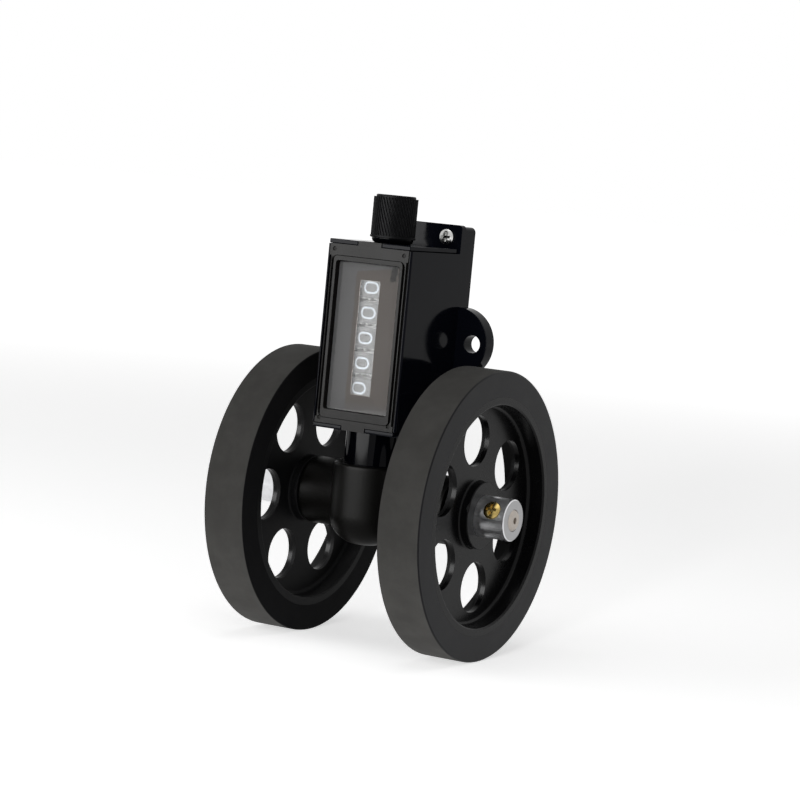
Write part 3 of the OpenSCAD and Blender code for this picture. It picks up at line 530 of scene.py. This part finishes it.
def drum_plastic(colours):
    """Grey drums with a soft grain, painted lighter on the teeth between their bands, as
    painted light against the shade there.
    """
    paint = Paint("drum_grey", colours.drum, 0.5)
    x, y, _ = paint.axes()
    outer = extent(f"drum_{MIDDLE_DRUM}").x / 2
    spoke = paint.node("ShaderNodeCombineXYZ", None, {0: x - DRUM_AXIS.x, 1: y - DRUM_AXIS.y})
    painted_light_teeth = paint.length(spoke).ramp(outer - 0.6 * MM, outer - 0.2 * MM, 1.0, 0.0)
    cloud = paint.noise(2.2 * MM, 4, 0.65)
    band = paint.tone(cloud.ramp(0.25, 0.8), colours.drum, 0.86, 1.12)
    # Painted light: the teeth in the gaps between the bands take the drum colour made 3.6 times
    # lighter.
    paint.set("Base Color", paint.mix(painted_light_teeth, band, shade(colours.drum, 3.6)))
    paint.set("Roughness", cloud * 0.15 + 0.4)
    return paint.material


def digit_print(colours):
    """White ink with thin places."""
    paint = Paint("digit_white", colours.digit, 0.45)
    thin = paint.noise(0.5 * MM, 2, 0.5)
    paint.set("Base Color", paint.mix(thin.ramp(0.55, 0.9) * 0.2, colours.digit, colours.drum))
    paint.set("Roughness", thin * 0.2 + 0.35)
    return paint.material


def drum_mark(colours):
    """Painted highlights: faint light bars on the drums, where the bands' top edges catch the
    light.
    """
    paint = Paint("drum_mark", shade(colours.drum, 1.5), 0.45)
    wear_and_sheen = paint.noise(0.6 * MM, 3, 0.6)
    paint.set("Base Color", paint.tone(wear_and_sheen, colours.drum, 1.2, 1.9))
    paint.set("Roughness", wear_and_sheen * 0.2 + 0.35)
    return paint.material


def knob_black():
    """Dull black of the reset knob, with places worn lighter."""
    fresh = (0.005, 0.005, 0.0055)
    rubbed = (0.012, 0.012, 0.0125)
    paint = Paint("knob_black", fresh, 0.42, {SPECULAR: 0.035})
    wear_and_sheen = paint.noise(2.5 * MM, 4, 0.65)
    fine = paint.noise(0.25 * MM, 2, 0.6)
    paint.set("Base Color", paint.mix(wear_and_sheen.ramp(0.5, 0.85), fresh, rubbed))
    paint.set("Roughness", wear_and_sheen * 0.15 + fine * 0.1 + 0.3)
    paint.bump(fine, 0.02 * MM, 0.3)
    return paint.material


def nylon_white():
    """Natural nylon of the upright gear, the carry pinions and the thrust washers."""
    dark = (0.66, 0.63, 0.55)
    light = (0.74, 0.71, 0.65)
    paint = Paint("white_nylon", light, 0.45, {"Subsurface Weight": 0.1})
    cloud = paint.noise(2 * MM, 3, 0.6)
    paint.set("Base Color", paint.mix(cloud, dark, light))
    paint.set("Roughness", cloud * 0.15 + 0.38)
    return paint.material


def sleeve_steel(colours):
    """Turned sleeve, its steel colour lightened round its side and darkened on its end: painted
    light and painted shade.
    """
    paint = Paint("sleeve_steel", colours.sleeve, 0.3, {"Metallic": 1.0})
    x, _, _ = paint.axes()
    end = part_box("hub_sleeve_right")[1].x
    face = abs(x).ramp(end - 0.15 * MM, end - 0.05 * MM)
    marks = paint.noise(0.25 * MM, 2, 0.6, TURNED)
    cloud = paint.noise(3.5 * MM, 4, 0.6)
    lightened_side = paint.tone(cloud.ramp(0.35, 0.8), colours.sleeve, 1.0, 0.8)
    # Painted light on the side and painted shade on the end of one steel.
    paint.set("Base Color", paint.mix(face, lightened_side, colours.sleeve_end))
    paint.set("Roughness", cloud * 0.12 + marks * 0.1 + 0.2)
    paint.bump(marks, 0.01 * MM, 0.5)
    return paint.material


def metal(name, colour, rough, grain=None, tarnish=0.85):
    """Metal with fine tool marks and a patchy tarnish."""
    paint = Paint(name, colour, rough, {"Metallic": 1.0})
    marks = paint.noise(0.25 * MM, 2, 0.6, grain)
    cloud = paint.noise(3.5 * MM, 4, 0.6)
    paint.set("Base Color", paint.tone(cloud.ramp(0.35, 0.8), colour, 1.0, tarnish))
    paint.set("Roughness", cloud * (rough * 0.5) + marks * (rough * 0.4) + rough * 0.55)
    paint.bump(marks, 0.01 * MM, 0.5)
    return paint.material


def finishes(colours):
    """One material for each slot of the record, and one each for the digits and the painted
    highlight bars.
    """
    return {
        "tyre_rubber": tyre_rubber(colours),
        "wheel_plastic": wheel_plastic(colours),
        "housing_black": housing_black(colours),
        # Painted shade: the neck takes the case's colour, darkened to 0.4.
        "neck_black": gloss_black("neck_black", shade(colours.case, 0.4), 0.09, 0.05),
        "case_black": gloss_black("case_black", colours.case, 0.1, 0.035),
        "bezel_black": bezel_black(colours),
        "dial_grey": dial_grey(colours),
        "clear_window": clear_window(colours),
        "drum_grey": drum_plastic(colours),
        "digit_white": digit_print(colours),
        "drum_mark": drum_mark(colours),
        "knob_black": knob_black(),
        "shaft_steel": metal("shaft_steel", colours.axle, 0.34, TURNED),
        "sleeve_steel": sleeve_steel(colours),
        "zinc_steel": metal("zinc_steel", colours.zinc, 0.3),
        "screw_steel": metal("screw_steel", colours.screw, 0.22),
        "screw_brass": metal("screw_brass", colours.clamp, 0.24, tarnish=0.6),
        "bearing_brass": metal("bearing_brass", colours.bearing, 0.3, TURNED),
        "gear_brass": metal("gear_brass", colours.gear, 0.25, UPRIGHT),
        "white_nylon": nylon_white(),
    }


# The finishes by name, which the first operator fills in
FINISH = {}


def loose(name, bm):
    """An object made from a bmesh, which is freed."""
    mesh = bpy.data.meshes.new(name)
    bm.to_mesh(mesh)
    bm.free()
    obj = bpy.data.objects.new(name, mesh)
    bpy.context.scene.collection.objects.link(obj)
    return obj


def settle(obj, node, finish=None, replaces=True, sharp=40.0):
    """Gives an object the body and the slot of a CAD node, a finish, and smooth shading."""
    obj.data.materials.clear()
    obj.data.materials.append(FINISH[finish or SLOT_OF[node]])
    obj.data.polygons.foreach_set("use_smooth", [True] * len(obj.data.polygons))
    obj.data.set_sharp_from_angle(angle=math.radians(sharp))
    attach(obj, BODY_OF[node])
    if replaces:
        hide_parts(node)
    return obj


def piece(name, bm, node, finish=None, replaces=True, sharp=40.0):
    """Makes a piece from a bmesh, which stands for a CAD node or goes with it."""
    return settle(loose(name, bm), node, finish, replaces, sharp)


def weigh(obj):
    """Keeps flat faces flat next to rounded edges."""
    modifier = obj.modifiers.new("flat faces", "WEIGHTED_NORMAL")
    modifier.keep_sharp = True
    modifier.weight = 90
    return obj


def from_cad(node):
    """A merged copy of a CAD node, with the cuts across its flat faces taken out."""
    weld = 0.002 * MM
    flat = math.radians(0.5)
    bm = bmesh.new()
    bm.from_mesh(NODES[node].data)
    bmesh.ops.remove_doubles(bm, verts=bm.verts, dist=weld)
    bmesh.ops.dissolve_limit(bm, angle_limit=flat, verts=bm.verts, edges=bm.edges,
                             use_dissolve_boundaries=False)
    return bm


def soften(bm, width, segments=3, angle=35.0, keep=None):
    """Rounds every edge that is sharper than angle and that keep allows."""
    edges = [edge for edge in bm.edges if len(edge.link_faces) == 2
             and edge.calc_face_angle(0) > math.radians(angle)
             and (keep is None or keep(edge))]
    bmesh.ops.bevel(bm, geom=edges, offset=width, offset_type="OFFSET", affect="EDGES",
                    segments=segments, profile=0.5, material=-1, clamp_overlap=True)
    return bm


def softened(name, node, width, segments=3, angle=35.0):
    """A copy of a CAD node with rounded edges, which stands for the node."""
    return weigh(piece(name, soften(from_cad(node), width, segments, angle), node))


def turned(section, centre, axis, steps=128, closed=True):
    """Spins a section of (along, radius) points round an axis through centre."""
    weld = 0.001 * MM
    bm = bmesh.new()
    axis = Vector(axis)
    side = Vector((0, 1, 0)) if axis.x else Vector((1, 0, 0))
    verts = [bm.verts.new(centre + axis * along + side * radius) for along, radius in section]
    pairs = list(zip(verts, verts[1:])) + ([(verts[-1], verts[0])] if closed else [])
    edges = [bm.edges.new(pair) for pair in pairs]
    bmesh.ops.spin(bm, geom=verts + edges, cent=centre, axis=axis, angle=math.tau,
                   steps=steps, use_merge=True)
    bmesh.ops.remove_doubles(bm, verts=bm.verts, dist=weld)
    bmesh.ops.recalc_face_normals(bm, faces=bm.faces)
    return bm


def new_verts(result):
    """The vertices that a bmesh operator made."""
    return [item for item in result["geom"] if isinstance(item, bmesh.types.BMVert)]


def baked_mesh(obj):
    """A mesh of the object with its modifiers applied."""
    bpy.context.view_layer.update()
    graph = bpy.context.evaluated_depsgraph_get()
    return bpy.data.meshes.new_from_object(obj.evaluated_get(graph), depsgraph=graph)


def apply_modifiers(obj):
    """Works an object's modifiers into its mesh."""
    baked = baked_mesh(obj)
    obj.modifiers.clear()
    obj.data = baked


def cut(obj, cutter):
    """Takes the shape of a bmesh, which is freed, out of an object."""
    tool = loose("cutter", cutter)
    mesh = tool.data
    modifier = obj.modifiers.new("cut", "BOOLEAN")
    modifier.operation = "DIFFERENCE"
    modifier.solver = "EXACT"
    modifier.object = tool
    apply_modifiers(obj)
    bpy.data.objects.remove(tool)
    bpy.data.meshes.remove(mesh)


class CounterTool:
    """What the counter's operators share."""
    bl_options = {"REGISTER", "UNDO"}

    @property
    def sizes(self):
        """The sizes set in the panel."""
        return bpy.context.scene.counter_sizes


class COUNTER_OT_finishes(CounterTool, bpy.types.Operator):
    """Mix the finishes that every piece takes"""
    bl_idname = "counter.finishes"
    bl_label = "Finishes"

    def execute(self, context):
        FINISH.update(finishes(context.scene.counter_colours))
        for name, node in NODES.items():
            node.data.materials.clear()
            node.data.materials.append(FINISH[SLOT_OF[name]])
        return {"FINISHED"}


class COUNTER_OT_tyres(CounterTool, bpy.types.Operator):
    """Turn the two rubber tyres"""
    bl_idname = "counter.tyres"
    bl_label = "Tyres"

    def execute(self, context):
        for side in SIDES:
            node = f"tyre_{side}"
            low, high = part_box(node)
            outer = extent(node).z / 2
            inner = min(self.radius(vert) for vert in NODES[node].data.vertices)
            section = [(low.x, inner), (low.x, outer), (high.x, outer), (high.x, inner)]
            bm = turned(section, Vector((0, AXLE.y, AXLE.z)), (1, 0, 0), steps=256)
            soften(bm, self.sizes.tyre_edge, segments=4, angle=60,
                   keep=lambda edge: min(map(self.radius, edge.verts)) > (inner + outer) / 2)
            weigh(piece(f"{side}_tyre", bm, node))
        return {"FINISHED"}

    @staticmethod
    def radius(vert):
        """A vertex's distance from the axle's centre line."""
        return math.hypot(vert.co.y - AXLE.y, vert.co.z - AXLE.z)


class COUNTER_OT_wheels(CounterTool, bpy.types.Operator):
    """Round the edges of the two moulded wheels"""
    bl_idname = "counter.wheels"
    bl_label = "Wheels"

    def execute(self, context):
        for side in SIDES:
            softened(f"{side}_wheel", f"wheel_{side}", self.sizes.edge, angle=50)
        return {"FINISHED"}


class COUNTER_OT_axle(CounterTool, bpy.types.Operator):
    """Round the axle and its sleeves"""
    bl_idname = "counter.axle"
    bl_label = "Axle and sleeves"

    def execute(self, context):
        softened("axle_rod", "axle", self.sizes.fine_edge, segments=2)
        for side in SIDES:
            softened(f"{side}_sleeve", f"hub_sleeve_{side}", self.sizes.fine_edge,
                     segments=2)
        return {"FINISHED"}


class COUNTER_OT_gear_case(CounterTool, bpy.types.Operator):
    """Blend the tube and the elbow of the gear case"""
    bl_idname = "counter.gear_case"
    bl_label = "Gear case"

    def execute(self, context):
        obj = loose("gear_housing", from_cad("gear_case"))
        blend = obj.modifiers.new("blend", "REMESH")
        blend.mode = "VOXEL"
        blend.voxel_size = self.sizes.case_blend
        smooth = obj.modifiers.new("smooth", "SMOOTH")
        smooth.factor = 0.5
        smooth.iterations = 6
        apply_modifiers(obj)
        settle(obj, "gear_case", sharp=60)
        return {"FINISHED"}


class COUNTER_OT_neck(CounterTool, bpy.types.Operator):
    """Round the neck between gear case and counter"""
    bl_idname = "counter.neck"
    bl_label = "Neck"

    def execute(self, context):
        softened("neck_pipe", "neck_tube", self.sizes.edge)
        return {"FINISHED"}


class COUNTER_OT_case(CounterTool, bpy.types.Operator):
    """Round the counter case, its end caps and the mounting plate"""
    bl_idname = "counter.case"
    bl_label = "Case and plate"

    def execute(self, context):
        for name, node in (("case_shell", "case_body"), ("top_cap", "case_top_cap"),
                           ("bottom_cap", "case_bottom_cap"), ("back_plate", "mounting_plate")):
            softened(name, node, self.sizes.edge)
        return {"FINISHED"}


class COUNTER_OT_front(CounterTool, bpy.types.Operator):
    """Round the bezel, the window frame, the pane and the dial"""
    bl_idname = "counter.front"
    bl_label = "Front"

    def execute(self, context):
        sizes = self.sizes
        bezel = piece("bezel_ring", soften(from_cad("front_bezel"), sizes.bar_edge),
                      "front_bezel")
        self.step_sides(bezel)
        weigh(bezel)
        softened("window_surround", "window_frame", sizes.bar_edge)
        softened("window_pane", "window_lens", sizes.fine_edge)
        softened("dial_plate", "dial_mask", sizes.fine_edge)
        return {"FINISHED"}

    def step_sides(self, bezel):
        """Steps the bezel's long sides back, beside the window frame."""
        low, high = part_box("front_bezel")
        foot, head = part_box("window_frame")
        size = (2 * self.sizes.step_width, 2 * self.sizes.step_depth, head.z - foot.z)
        for side in (low.x, high.x):
            cutter = bmesh.new()
            bmesh.ops.create_cube(cutter, size=1.0)
            bmesh.ops.scale(cutter, verts=cutter.verts, vec=size)
            bmesh.ops.translate(cutter, verts=cutter.verts,
                                vec=(side, low.y, (foot.z + head.z) / 2))
            cut(bezel, cutter)


class COUNTER_OT_digits(CounterTool, bpy.types.Operator):
    """Print the digits and paint the faint bars, which are painted highlights, on the number
    drums
    """
    bl_idname = "counter.digits"
    bl_label = "Digits"

    def execute(self, context):
        glyphs = [self.nought()] + [self.glyph(str(k)) for k in range(1, 10)]
        for n in DRUMS:
            bm = bmesh.new()
            for k, glyph in enumerate(glyphs):
                self.print_on_drum(bm, glyph, n, k / len(glyphs))
            piece(f"digits_{n}", bm, f"drum_{n}", "digit_white", replaces=False)
        bar = self.bar()
        drums_with_bar = DRUMS[:-1]
        # The bars are painted highlights on the bands' top edges.
        for n in drums_with_bar:
            bm = bmesh.new()
            self.print_on_drum(bm, bar, n, 0.0)
            bmesh.ops.recalc_face_normals(bm, faces=bm.faces)
            piece(f"drum_bar_{n}", bm, f"drum_{n}", "drum_mark", replaces=False)
        for mesh in (*glyphs, bar):
            bpy.data.meshes.remove(mesh)
        return {"FINISHED"}

    def nought(self):
        """The nought: a ring with straight long sides."""
        sizes = self.sizes
        segments = 32
        half = sizes.digit_width / 2
        straight = sizes.digit_height / 2 - half
        bm = bmesh.new()
        bmesh.ops.create_circle(bm, cap_ends=True, radius=half, segments=segments)
        bmesh.ops.rotate(bm, verts=bm.verts, cent=(0, 0, 0),
                         matrix=Matrix.Rotation(math.pi / segments, 3, "Z"))
        for vert in bm.verts:
            vert.co.y += math.copysign(straight, vert.co.y)
        hole = bm.faces[:]
        bmesh.ops.inset_region(bm, faces=hole, thickness=sizes.digit_stroke,
                               use_boundary=True, use_even_offset=True)
        bmesh.ops.delete(bm, geom=hole, context="FACES")
        raised = new_verts(bmesh.ops.extrude_face_region(bm, geom=bm.faces[:]))
        bmesh.ops.translate(bm, verts=raised, vec=(0, 0, sizes.digit_lift))
        return self.sliced(bm)

    def glyph(self, text):
        """A digit as a flat mesh, centred, at its real size. The weld joins front and back."""
        weld = 0.1 * MM
        curve = bpy.data.curves.new("digit", "FONT")
        curve.body = text
        curve.resolution_u = 6
        curve.extrude = self.sizes.digit_lift
        obj = bpy.data.objects.new("digit", curve)
        bpy.context.scene.collection.objects.link(obj)
        mesh = baked_mesh(obj)
        bpy.data.objects.remove(obj)
        bpy.data.curves.remove(curve)
        bm = bmesh.new()
        bm.from_mesh(mesh)
        bpy.data.meshes.remove(mesh)
        bmesh.ops.remove_doubles(bm, verts=bm.verts, dist=weld)
        xs = [vert.co.x for vert in bm.verts]
        ys = [vert.co.y for vert in bm.verts]
        high = self.sizes.digit_height / (max(ys) - min(ys))
        wide = self.sizes.digit_width / (max(xs) - min(xs)) if text != "1" else high
        bmesh.ops.translate(bm, verts=bm.verts,
                            vec=(-(max(xs) + min(xs)) / 2, -(max(ys) + min(ys)) / 2, 0))
        bmesh.ops.scale(bm, verts=bm.verts, vec=(wide, high, 1))
        return self.sliced(bm)

    def sliced(self, bm):
        """Cuts a digit across, so that it can bend round the drum, and stores it."""
        slices = 10
        for i in range(1, slices):
            level = (i / slices - 0.5) * self.sizes.digit_height
            bmesh.ops.bisect_plane(bm, geom=bm.verts[:] + bm.edges[:] + bm.faces[:],
                                   plane_co=(0, level, 0), plane_no=(0, 1, 0))
        mesh = bpy.data.meshes.new("digit")
        bm.to_mesh(mesh)
        bm.free()
        return mesh

    def bar(self):
        """The faint bar, a painted highlight, placed as it lies over a digit."""
        sizes = self.sizes
        bm = bmesh.new()
        bmesh.ops.create_grid(bm, x_segments=1, y_segments=6, size=0.5)
        bmesh.ops.scale(bm, verts=bm.verts, vec=(sizes.mark_width, sizes.mark_length, 1))
        bmesh.ops.translate(bm, verts=bm.verts,
                            vec=(-sizes.mark_height, 0, sizes.digit_lift / 2))
        mesh = bpy.data.meshes.new("bar")
        bm.to_mesh(mesh)
        bm.free()
        return mesh

    def print_on_drum(self, bm, flat, n, share):
        """Wraps a flat mesh round drum n, a share of a turn from its front."""
        radius = extent(f"drum_{n}").x / 2
        level = middle(f"drum_{n}").z
        lag = self.sizes.digit_shift + (n - MIDDLE_DRUM) * self.sizes.drum_lag
        turn = -math.pi / 2 - share * math.tau
        start = len(bm.verts)
        bm.from_mesh(flat)
        bm.verts.ensure_lookup_table()
        for vert in bm.verts[start:]:
            angle = turn + (vert.co.y + lag) / radius
            reach = radius + vert.co.z
            vert.co = Vector((DRUM_AXIS.x + reach * math.cos(angle),
                              DRUM_AXIS.y + reach * math.sin(angle), level - vert.co.x))


class COUNTER_OT_knob(CounterTool, bpy.types.Operator):
    """Turn the reset knob with its slanting knurl, and the collar under it"""
    bl_idname = "counter.knob"
    bl_label = "Reset knob"

    def execute(self, context):
        low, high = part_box("reset_knob")
        centre = Vector((DRUM_AXIS.x, DRUM_AXIS.y, 0))
        lip = extent("reset_knob").x / 2
        lip_edge = 0.2 * MM
        lip_slope = 0.1 * MM
        step = 0.9 * MM
        crown_edge = 0.3 * MM
        dish = 5.8 * MM
        dish_depth = 0.5 * MM
        rim = lip - lip_edge
        core = rim - self.sizes.knurl_depth
        crown = rim - step
        grip_low = low.z + step
        grip_high = high.z - step
        section = [(low.z, 0.0), (low.z, rim), (low.z + lip_edge, lip),
                   (grip_low - lip_slope, lip), (grip_low, core), (grip_high, core),
                   (grip_high, crown), (high.z - crown_edge, crown),
                   (high.z, crown - crown_edge), (high.z, dish),
                   (high.z - dish_depth, dish), (high.z - dish_depth, 0.0)]
        bm = turned(section, centre, (0, 0, 1), closed=False)
        self.grip(bm, centre, core, rim, grip_low, grip_high)
        piece("knurled_knob", bm, "reset_knob", sharp=30)
        self.collar(centre, low.z)
        return {"FINISHED"}

    def grip(self, bm, centre, core, rim, low, high):
        """A ring of ridges, drawn up along the knob and twisted as it rises."""
        count = self.sizes.knurl_ridges
        sink = 0.05 * MM
        sunk = core - sink
        flank_shares = ((0.0, sunk), (0.3, rim), (0.55, rim), (0.85, sunk))
        corners = []
        for i in range(count):
            for share, radius in flank_shares:
                angle = (i + share) / count * math.tau
                corners.append(bm.verts.new(centre + Vector(
                    (radius * math.cos(angle), radius * math.sin(angle), low))))
        face = bm.faces.new(corners)
        levels = 12
        rise = (high - low) / levels
        twist = Matrix.Rotation(-math.tan(self.sizes.knurl_slant) * rise / rim, 3, "Z")
        base = face
        for _ in range(levels):
            made = bmesh.ops.extrude_face_region(bm, geom=[base])
            if base is not face:
                bm.faces.remove(base)
            base = next(item for item in made["geom"] if isinstance(item, bmesh.types.BMFace))
            verts = new_verts(made)
            bmesh.ops.translate(bm, verts=verts, vec=(0, 0, rise))
            bmesh.ops.rotate(bm, verts=verts, cent=centre, matrix=twist)
        bmesh.ops.recalc_face_normals(bm, faces=bm.faces)

    def collar(self, centre, knob_foot):
        """The collar that swells like a bowl, close under the knob."""
        low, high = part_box("knob_bush")
        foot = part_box("case_top_cap")[1].z
        bore = 2.1 * MM
        stem = 4.9 * MM
        swell = 1.3 * MM
        gap = 0.06 * MM
        inset = 0.2 * MM
        steps = 10
        top = knob_foot - gap
        rim = high.x - inset
        section = [(low.z, bore), (low.z, stem), (foot, stem)]
        for i in range(steps + 1):
            turn = i / steps * math.pi / 2
            section.append((top - (top - foot) * math.cos(turn),
                            rim - swell * (1 - math.sin(turn))))
        section.append((top, bore))
        piece("knob_collar", turned(section, centre, (0, 0, 1)), "knob_bush", "neck_black")


class COUNTER_OT_screws(CounterTool, bpy.types.Operator):
    """Round the cross-recessed screws"""
    bl_idname = "counter.screws"
    bl_label = "Screws"

    def execute(self, context):
        for name, node in (("flange_screws", "plate_screws"),
                           ("left_clamp", "clamp_screw_left"),
                           ("right_clamp", "clamp_screw_right")):
            softened(name, node, self.sizes.fine_edge, segments=2)
        return {"FINISHED"}


class COUNTER_OT_stage(CounterTool, bpy.types.Operator):
    """Set up the floor, the light and the camera"""
    bl_idname = "counter.stage"
    bl_label = "Studio"

    def execute(self, context):
        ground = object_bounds()[0].z
        self.floor(ground)
        self.sky(context.scene)
        self.lamps(ground)
        self.camera(context.scene)
        context.scene.view_settings.view_transform = "Standard"
        return {"FINISHED"}

    def floor(self, ground):
        """A pale floor that keeps the shadow, and is seen as white further off."""
        black = (0, 0, 0)
        white = (1, 1, 1)
        half_side = 30.0
        bm = bmesh.new()
        bmesh.ops.create_grid(bm, x_segments=1, y_segments=1, size=half_side)
        bmesh.ops.translate(bm, verts=bm.verts, vec=(0, 0, ground))
        obj = loose("floor", bm)
        paint = Paint("floor_white", (0.80, 0.80, 0.80), 0.6, {SPECULAR: 0.0})
        glow = paint.length(paint.place).ramp(0.3, 2.2, 0.6, 1.0)
        paint.set("Emission Color",
                  paint.mix(paint.seen(), black, paint.mix(glow, black, white)))
        paint.set("Emission Strength", 1.0)
        obj.data.materials.append(paint.material)
        obj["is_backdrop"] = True

    def sky(self, scene):
        """A world that gives little light, and is seen as white."""
        fill = (0.12, 0.12, 0.12)
        white = (1, 1, 1)
        scene.world = bpy.data.worlds.new("studio")
        scene.world.use_nodes = True
        nodes = Nodes(scene.world.node_tree)
        nodes.wire(nodes.tree.nodes["Background"].inputs["Color"],
                   nodes.mix(nodes.seen(), fill, white))

    def lamps(self, ground):
        """Soft boxes that light the counter, and a tall panel that is only mirrored in it."""
        self.softbox("left_box", self.around(-48, 14, 0.95), (0.75, 0.95), 1.9, "diffuse")
        self.softbox("right_box", self.around(38, 16, 1.15), (0.75, 0.80), 1.7, "diffuse")
        self.softbox("top_box", self.around(10, 78, 0.95), (0.80, 0.80), 1.3, "both")
        self.softbox("low_sun", self.around(14, 10.5, 2.6), (0.22, 0.22), 110.0, "diffuse")
        card_reach = 85 * MM
        card = (Vector((0, AXLE.y - card_reach, ground + MM)), Vector((0, 0, -1)))
        self.softbox("floor_card", card, (0.34, 0.14), 1.1, "diffuse")
        panel = self.softbox("front_panel", self.around(-17.5, 6, 0.68), (0.74, 0.50), 14.0,
                             "glossy")
        self.spare(panel, "shaft_steel", "sleeve_steel", "screw_steel", "screw_brass",
                   "zinc_steel", "bearing_brass", "clear_window", "drum_grey", "digit_white",
                   "drum_mark", "dial_grey", "tyre_rubber")

    def around(self, azimuth, elevation, reach):
        """A place round the counter, by angles in degrees and metres, and the way to it."""
        way = direction(math.radians(azimuth), math.radians(elevation))
        return Vector((0, AXLE.y, AXLE.z / 2)) + way * reach, way

    def softbox(self, name, stand, size, radiance, rays):
        """A soft lamp of a width and height that shines back along its stand's way."""
        place, way = stand
        wide, tall = size
        light = bpy.data.lights.new(name, "AREA")
        light.shape = "RECTANGLE"
        light.size = wide
        light.size_y = tall
        light.energy = radiance * math.pi * wide * tall
        obj = bpy.data.objects.new(name, light)
        bpy.context.scene.collection.objects.link(obj)
        obj.visible_camera = False
        obj.visible_glossy = rays != "diffuse"
        obj.visible_diffuse = rays != "glossy"
        obj.location = place
        obj.rotation_euler = way.to_track_quat("Z", "Y").to_euler()
        return obj

    def spare(self, lamp, *names):
        """Keeps a lamp's glare off the pieces of some finishes."""
        group = bpy.data.collections.new(f"{lamp.name}_spares")
        lamp.light_linking.receiver_collection = group
        spared = {FINISH[name] for name in names}
        for obj in bpy.context.scene.objects:
            if obj.type == "MESH" and spared.intersection(obj.data.materials):
                group.objects.link(obj)
        for item in group.collection_objects:
            item.light_linking.link_state = "EXCLUDE"

    def camera(self, scene):
        """The camera at the photograph's viewing angle."""
        view = scene.counter_camera
        back = direction(view.azimuth, view.elevation)
        right = Vector((math.cos(view.azimuth), math.sin(view.azimuth), 0))
        across = right * math.cos(view.roll) + back.cross(right) * math.sin(view.roll)
        turn = Matrix((across, back.cross(across), back)).transposed()
        data = bpy.data.cameras.new("photo_camera")
        data.sensor_width = view.sensor
        data.lens = view.lens
        data.clip_start = 50 * MM
        camera = bpy.data.objects.new("photo_camera", data)
        scene.collection.objects.link(camera)
        place = Vector(view.target) + back * view.distance
        camera.matrix_world = Matrix.Translation(place) @ turn.to_4x4()
        scene.camera = camera


class COUNTER_PT_panel(bpy.types.Panel):
    """Lists the counter's settings and operators"""
    bl_idname = "COUNTER_PT_panel"
    bl_label = "Cable Length Counter"
    bl_space_type = "VIEW_3D"
    bl_region_type = "UI"
    bl_category = "Counter"

    def draw(self, context):
        for group in GROUPS:
            box = self.layout.box()
            settings = getattr(context.scene, group)
            for name in settings.bl_rna.properties.keys():
                if name not in {"rna_type", "name"}:
                    box.prop(settings, name)
        for operator in OPERATORS:
            self.layout.operator(operator.bl_idname)


GROUPS = {"counter_sizes": CounterSizes, "counter_colours": CounterColours,
          "counter_camera": CounterCamera}
OPERATORS = (COUNTER_OT_finishes, COUNTER_OT_tyres, COUNTER_OT_wheels, COUNTER_OT_axle,
             COUNTER_OT_gear_case, COUNTER_OT_neck, COUNTER_OT_case, COUNTER_OT_front,
             COUNTER_OT_digits, COUNTER_OT_knob, COUNTER_OT_screws, COUNTER_OT_stage)


def register():
    """Makes the settings, the operators and the panel known to Blender."""
    for name, group in GROUPS.items():
        bpy.utils.register_class(group)
        setattr(bpy.types.Scene, name, PointerProperty(type=group))
    for operator in OPERATORS:
        bpy.utils.register_class(operator)
    bpy.utils.register_class(COUNTER_PT_panel)


def unregister():
    """Takes back what register did, in the opposite order."""
    bpy.utils.unregister_class(COUNTER_PT_panel)
    for operator in reversed(OPERATORS):
        bpy.utils.unregister_class(operator)
    for name, group in reversed(GROUPS.items()):
        delattr(bpy.types.Scene, name)
        bpy.utils.unregister_class(group)


def main():
    register()
    for operator in OPERATORS:
        getattr(bpy.ops.counter, operator.bl_idname.split(".")[1])()


if __name__ == "__main__":
    main()
